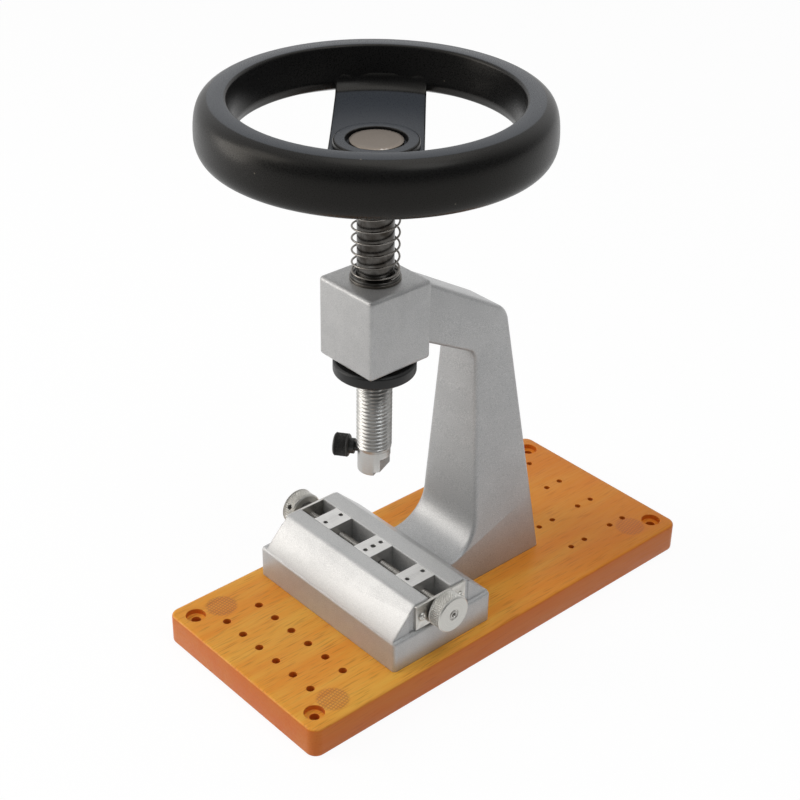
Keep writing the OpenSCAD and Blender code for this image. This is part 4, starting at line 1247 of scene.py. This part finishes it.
class OPENER_OT_knobs(bpy.types.Operator):
    """Knurled knobs with their washers and set screws"""

    bl_idname = "opener.knobs"
    bl_label = "Knobs"

    def execute(self, context):
        looks, metal = context.scene.opener_thread, context.scene.opener_metal
        faced = {"spacing": 0.35 * MM, "bump": 0.2, "metal": 0.72, **RINGS_ALONG_X}
        plated = steel_finish("Knob plating", "plated", metal.plated, (0.34, 0.48), **faced)
        for side, node, degrees in ((-1, "left_knob", 60), (1, "right_knob", 250)):
            low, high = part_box(node)
            r, long = (high.z - low.z) / 2, high.x - low.x
            inner = low.x if side > 0 else -high.x
            knurl = knurl_bump(KNOB_EDGE, long - KNOB_EDGE, 52, 1.25 * MM, looks.knurl_depth)
            line, place = knob_outline(r, long), on_screw_line(side * inner, side)
            bump = outside(r - HAIR, knurl)
            knob = turned_piece(node + "_knurled", line, 384, 60, place, bump, closed=True)
            aim = Matrix.Translation((side * (inner + 0.45 * long), SCREW_LINE.y, SCREW_LINE.z))
            aim = aim @ Matrix.Rotation(math.radians(degrees), 4, "X")
            cut_away(knob, hole_shell(1.5 * MM, 3 * MM, 14 * MM, 32, aim), "set_screw_hole")
            settle(knob, plated, node)
        dark = black_finish("Set screw oxide", "dark_steel", metal.black, (0.34, 0.5), Metallic=0.5)
        washer = steel_finish(
            "Knob washer steel", "dark_steel", metal.gunmetal, (0.28, 0.42), **RINGS_ALONG_X
        )
        for node, finish in (("knob_set_screws", dark), ("knob_washers", washer)):
            dress(node, node + "_dressed", finish, 0.12 * MM)
        return {"FINISHED"}


def knob_outline(r, long):
    """Closed outline of a knob: bore, chamfered ends, knurled band, faced front and a dished
    centre."""
    bore, dish, dish_r = 2.25 * MM, 0.6 * MM, 3.1 * MM
    back = eased([(bore, 0, 0), (r - KNOB_EDGE, 0, 0.3 * MM), (r, KNOB_EDGE, 0)])
    band = straight(r, KNOB_EDGE, long - KNOB_EDGE, 0.16 * MM)[1:-1]
    corners = [
        (r, long - KNOB_EDGE, 0), (r - KNOB_EDGE, long, 0.35 * MM), (dish_r, long, 0.25 * MM),
        (dish_r - 0.2 * MM, long - dish, 0.2 * MM), (bore, long - dish, 0),
    ]  # fmt: skip
    return np.concatenate([back, band, eased(corners)])


# Stage

WARM, COOL, WHITE = (1.0, 0.965, 0.92), (0.92, 0.96, 1.0), (1.0, 1.0, 1.0)
# Place, diameter and colour of each lamp
LAMPS = {
    "key": ((-0.75, -1.25, 1.15), 0.9, WARM),
    "low": ((-1.2, -1.2, 0.45), 1.0, WARM),
    "side": ((0.85, 0, 1.6), 0.8, COOL),
    "top": ((0, 0.2, 1.9), 1.3, WHITE),
}
LAMP_AIM = Vector((0, 0, 0.13))
FLOOR_HALF = 6.0  # metres from the middle of the floor to its edge
LIT_SIDE = (-0.62, 0.34, 0.71)  # direction of the studio's bright side


class OPENER_OT_stage(bpy.types.Operator):
    """Camera at the viewing angle, soft lamps, plain surroundings and a pale floor"""

    bl_idname = "opener.stage"
    bl_label = "Stage"

    def execute(self, context):
        looks, scene = context.scene.opener_stage, context.scene
        camera = camera_of(looks)
        scene.collection.objects.link(camera)
        scene.camera = camera
        for name, (place, size, colour) in LAMPS.items():
            lamp = bpy.data.lights.new(name + "_lamp", "AREA")
            lamp.shape, lamp.size, lamp.color = "DISK", size, colour
            lamp.energy = getattr(looks, name)
            stand = bpy.data.objects.new(name + "_lamp", lamp)
            stand.location = place
            aim = LAMP_AIM - stand.location
            stand.rotation_euler = aim.to_track_quat("-Z", "Y").to_euler()
            scene.collection.objects.link(stand)
        scene.world = bpy.data.worlds.new("surroundings")
        scene.world.use_nodes = True
        white_for_rays(scene.world.node_tree, looks.around)
        floor = new_piece(mesh_of("floor", [(floor_grid(), False, False)], SHARP))
        floor.data.materials.append(floor_finish())
        scene.view_settings.view_transform = "Standard"
        return {"FINISHED"}


def camera_of(looks):
    """Camera at its place, looking along its azimuth and elevation, and rolled about that line."""
    a, e, roll = looks.azimuth, looks.elevation, looks.roll
    level = Vector((math.cos(a), math.sin(a), 0))
    back = Vector((math.sin(a) * math.cos(e), -math.cos(a) * math.cos(e), math.sin(e)))
    steep = back.cross(level)
    right = level * math.cos(roll) + steep * math.sin(roll)
    up = steep * math.cos(roll) - level * math.sin(roll)
    data = bpy.data.cameras.new("camera")
    data.lens, data.sensor_width = looks.lens, 36
    data.clip_start, data.clip_end = 0.05, 60
    camera = bpy.data.objects.new("camera", data)
    turn = Matrix((right, up, back)).transposed().to_4x4()
    camera.matrix_world = Matrix.Translation(looks.centre) @ turn
    return camera


def seen_rays(tree):
    """1 for camera, glossy and transmission rays, and 0 for the rest."""
    path = add(tree, "ShaderNodeLightPath").outputs
    seen = maths(tree, "MAXIMUM", path["Is Camera Ray"], path["Is Glossy Ray"])
    return maths(tree, "MAXIMUM", seen, path["Is Transmission Ray"])


def white_for_rays(tree, strength):
    """Surroundings that are white where they are seen and softer where they only light. Metal sees
    the unlit side of the studio too, which lies low and to the operator's side, so it keeps its
    contrast."""
    tree.nodes.clear()
    camera = add(tree, "ShaderNodeLightPath").outputs["Is Camera Ray"]
    aim = add(tree, "ShaderNodeTexCoord").outputs["Generated"]
    lit = vector_maths(tree, "DOT_PRODUCT", {0: aim, 1: LIT_SIDE}, "Value")
    studio = maths(tree, "MAXIMUM", spread(tree, lit, -0.25, 0.75, 0.06, 1.0), camera)
    soft, white = (
        add(tree, "ShaderNodeBackground", {"Color": (1, 1, 1, 1), "Strength": s}).outputs[0]
        for s in (strength, studio)
    )
    mix = add(tree, "ShaderNodeMixShader", {0: seen_rays(tree), 1: soft, 2: white})
    add(tree, "ShaderNodeOutputWorld", {"Surface": mix.outputs[0]})


def floor_grid():
    """Flat square floor just under the board."""
    x, y = np.meshgrid(*[np.linspace(-FLOOR_HALF, FLOOR_HALF, 3)] * 2)
    return np.stack([x, y, np.full_like(x, low_z("base_board") - 0.2 * MM)], -1)


def floor_finish():
    """Pale floor that keeps the shadow and shows nearly white where it is seen."""
    material, tree, shader, at = finish_of("Pale floor", "floor", Roughness=0.8)
    wire_up(tree, shader, blend(tree, noise(tree, at, 30, 3), (0.86,) * 3, (0.88,) * 3))
    glow = add(tree, "ShaderNodeEmission", {"Color": (1, 1, 1, 1), "Strength": 1.04})
    shown = times(tree, seen_rays(tree), 0.9)
    inputs = {0: shown, 1: shader.outputs[0], 2: glow.outputs[0]}
    mix = add(tree, "ShaderNodeMixShader", inputs)
    tree.links.new(mix.outputs[0], tree.nodes["Material Output"].inputs["Surface"])
    return material


OPERATORS = (
    OPENER_OT_stage,
    OPENER_OT_board,
    OPENER_OT_casting,
    OPENER_OT_fastening,
    OPENER_OT_bushes,
    OPENER_OT_spring,
    OPENER_OT_handwheel,
    OPENER_OT_hub,
    OPENER_OT_spindle,
    OPENER_OT_stem,
    OPENER_OT_stop_nut,
    OPENER_OT_thumb_screw,
    OPENER_OT_jaws,
    OPENER_OT_leadscrew,
    OPENER_OT_end_plates,
    OPENER_OT_knobs,
)


class OPENER_PT_pieces(bpy.types.Panel):
    """Sidebar panel with the opener's sizes, colours and pieces"""

    bl_idname = "OPENER_PT_pieces"
    bl_label = "Case opener"
    bl_space_type = "VIEW_3D"
    bl_region_type = "UI"
    bl_category = "Case opener"

    def draw(self, context):
        for name, group in LOOKS.items():
            box = self.layout.box()
            box.label(text=group.__doc__)
            for label in group.__annotations__:
                box.prop(getattr(context.scene, name), label)
        for operator in OPERATORS:
            self.layout.operator(operator.bl_idname)


CLASSES = (*LOOKS.values(), *OPERATORS, OPENER_PT_pieces)


def register():
    for group in CLASSES:
        bpy.utils.register_class(group)
    for name, group in LOOKS.items():
        setattr(bpy.types.Scene, name, PointerProperty(type=group))


def unregister():
    for name in LOOKS:
        delattr(bpy.types.Scene, name)
    for group in reversed(CLASSES):
        bpy.utils.unregister_class(group)


def main():
    register()
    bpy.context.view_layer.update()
    for operator in OPERATORS:
        group, name = operator.bl_idname.split(".")
        getattr(getattr(bpy.ops, group), name)()


if __name__ == "__main__":
    main()
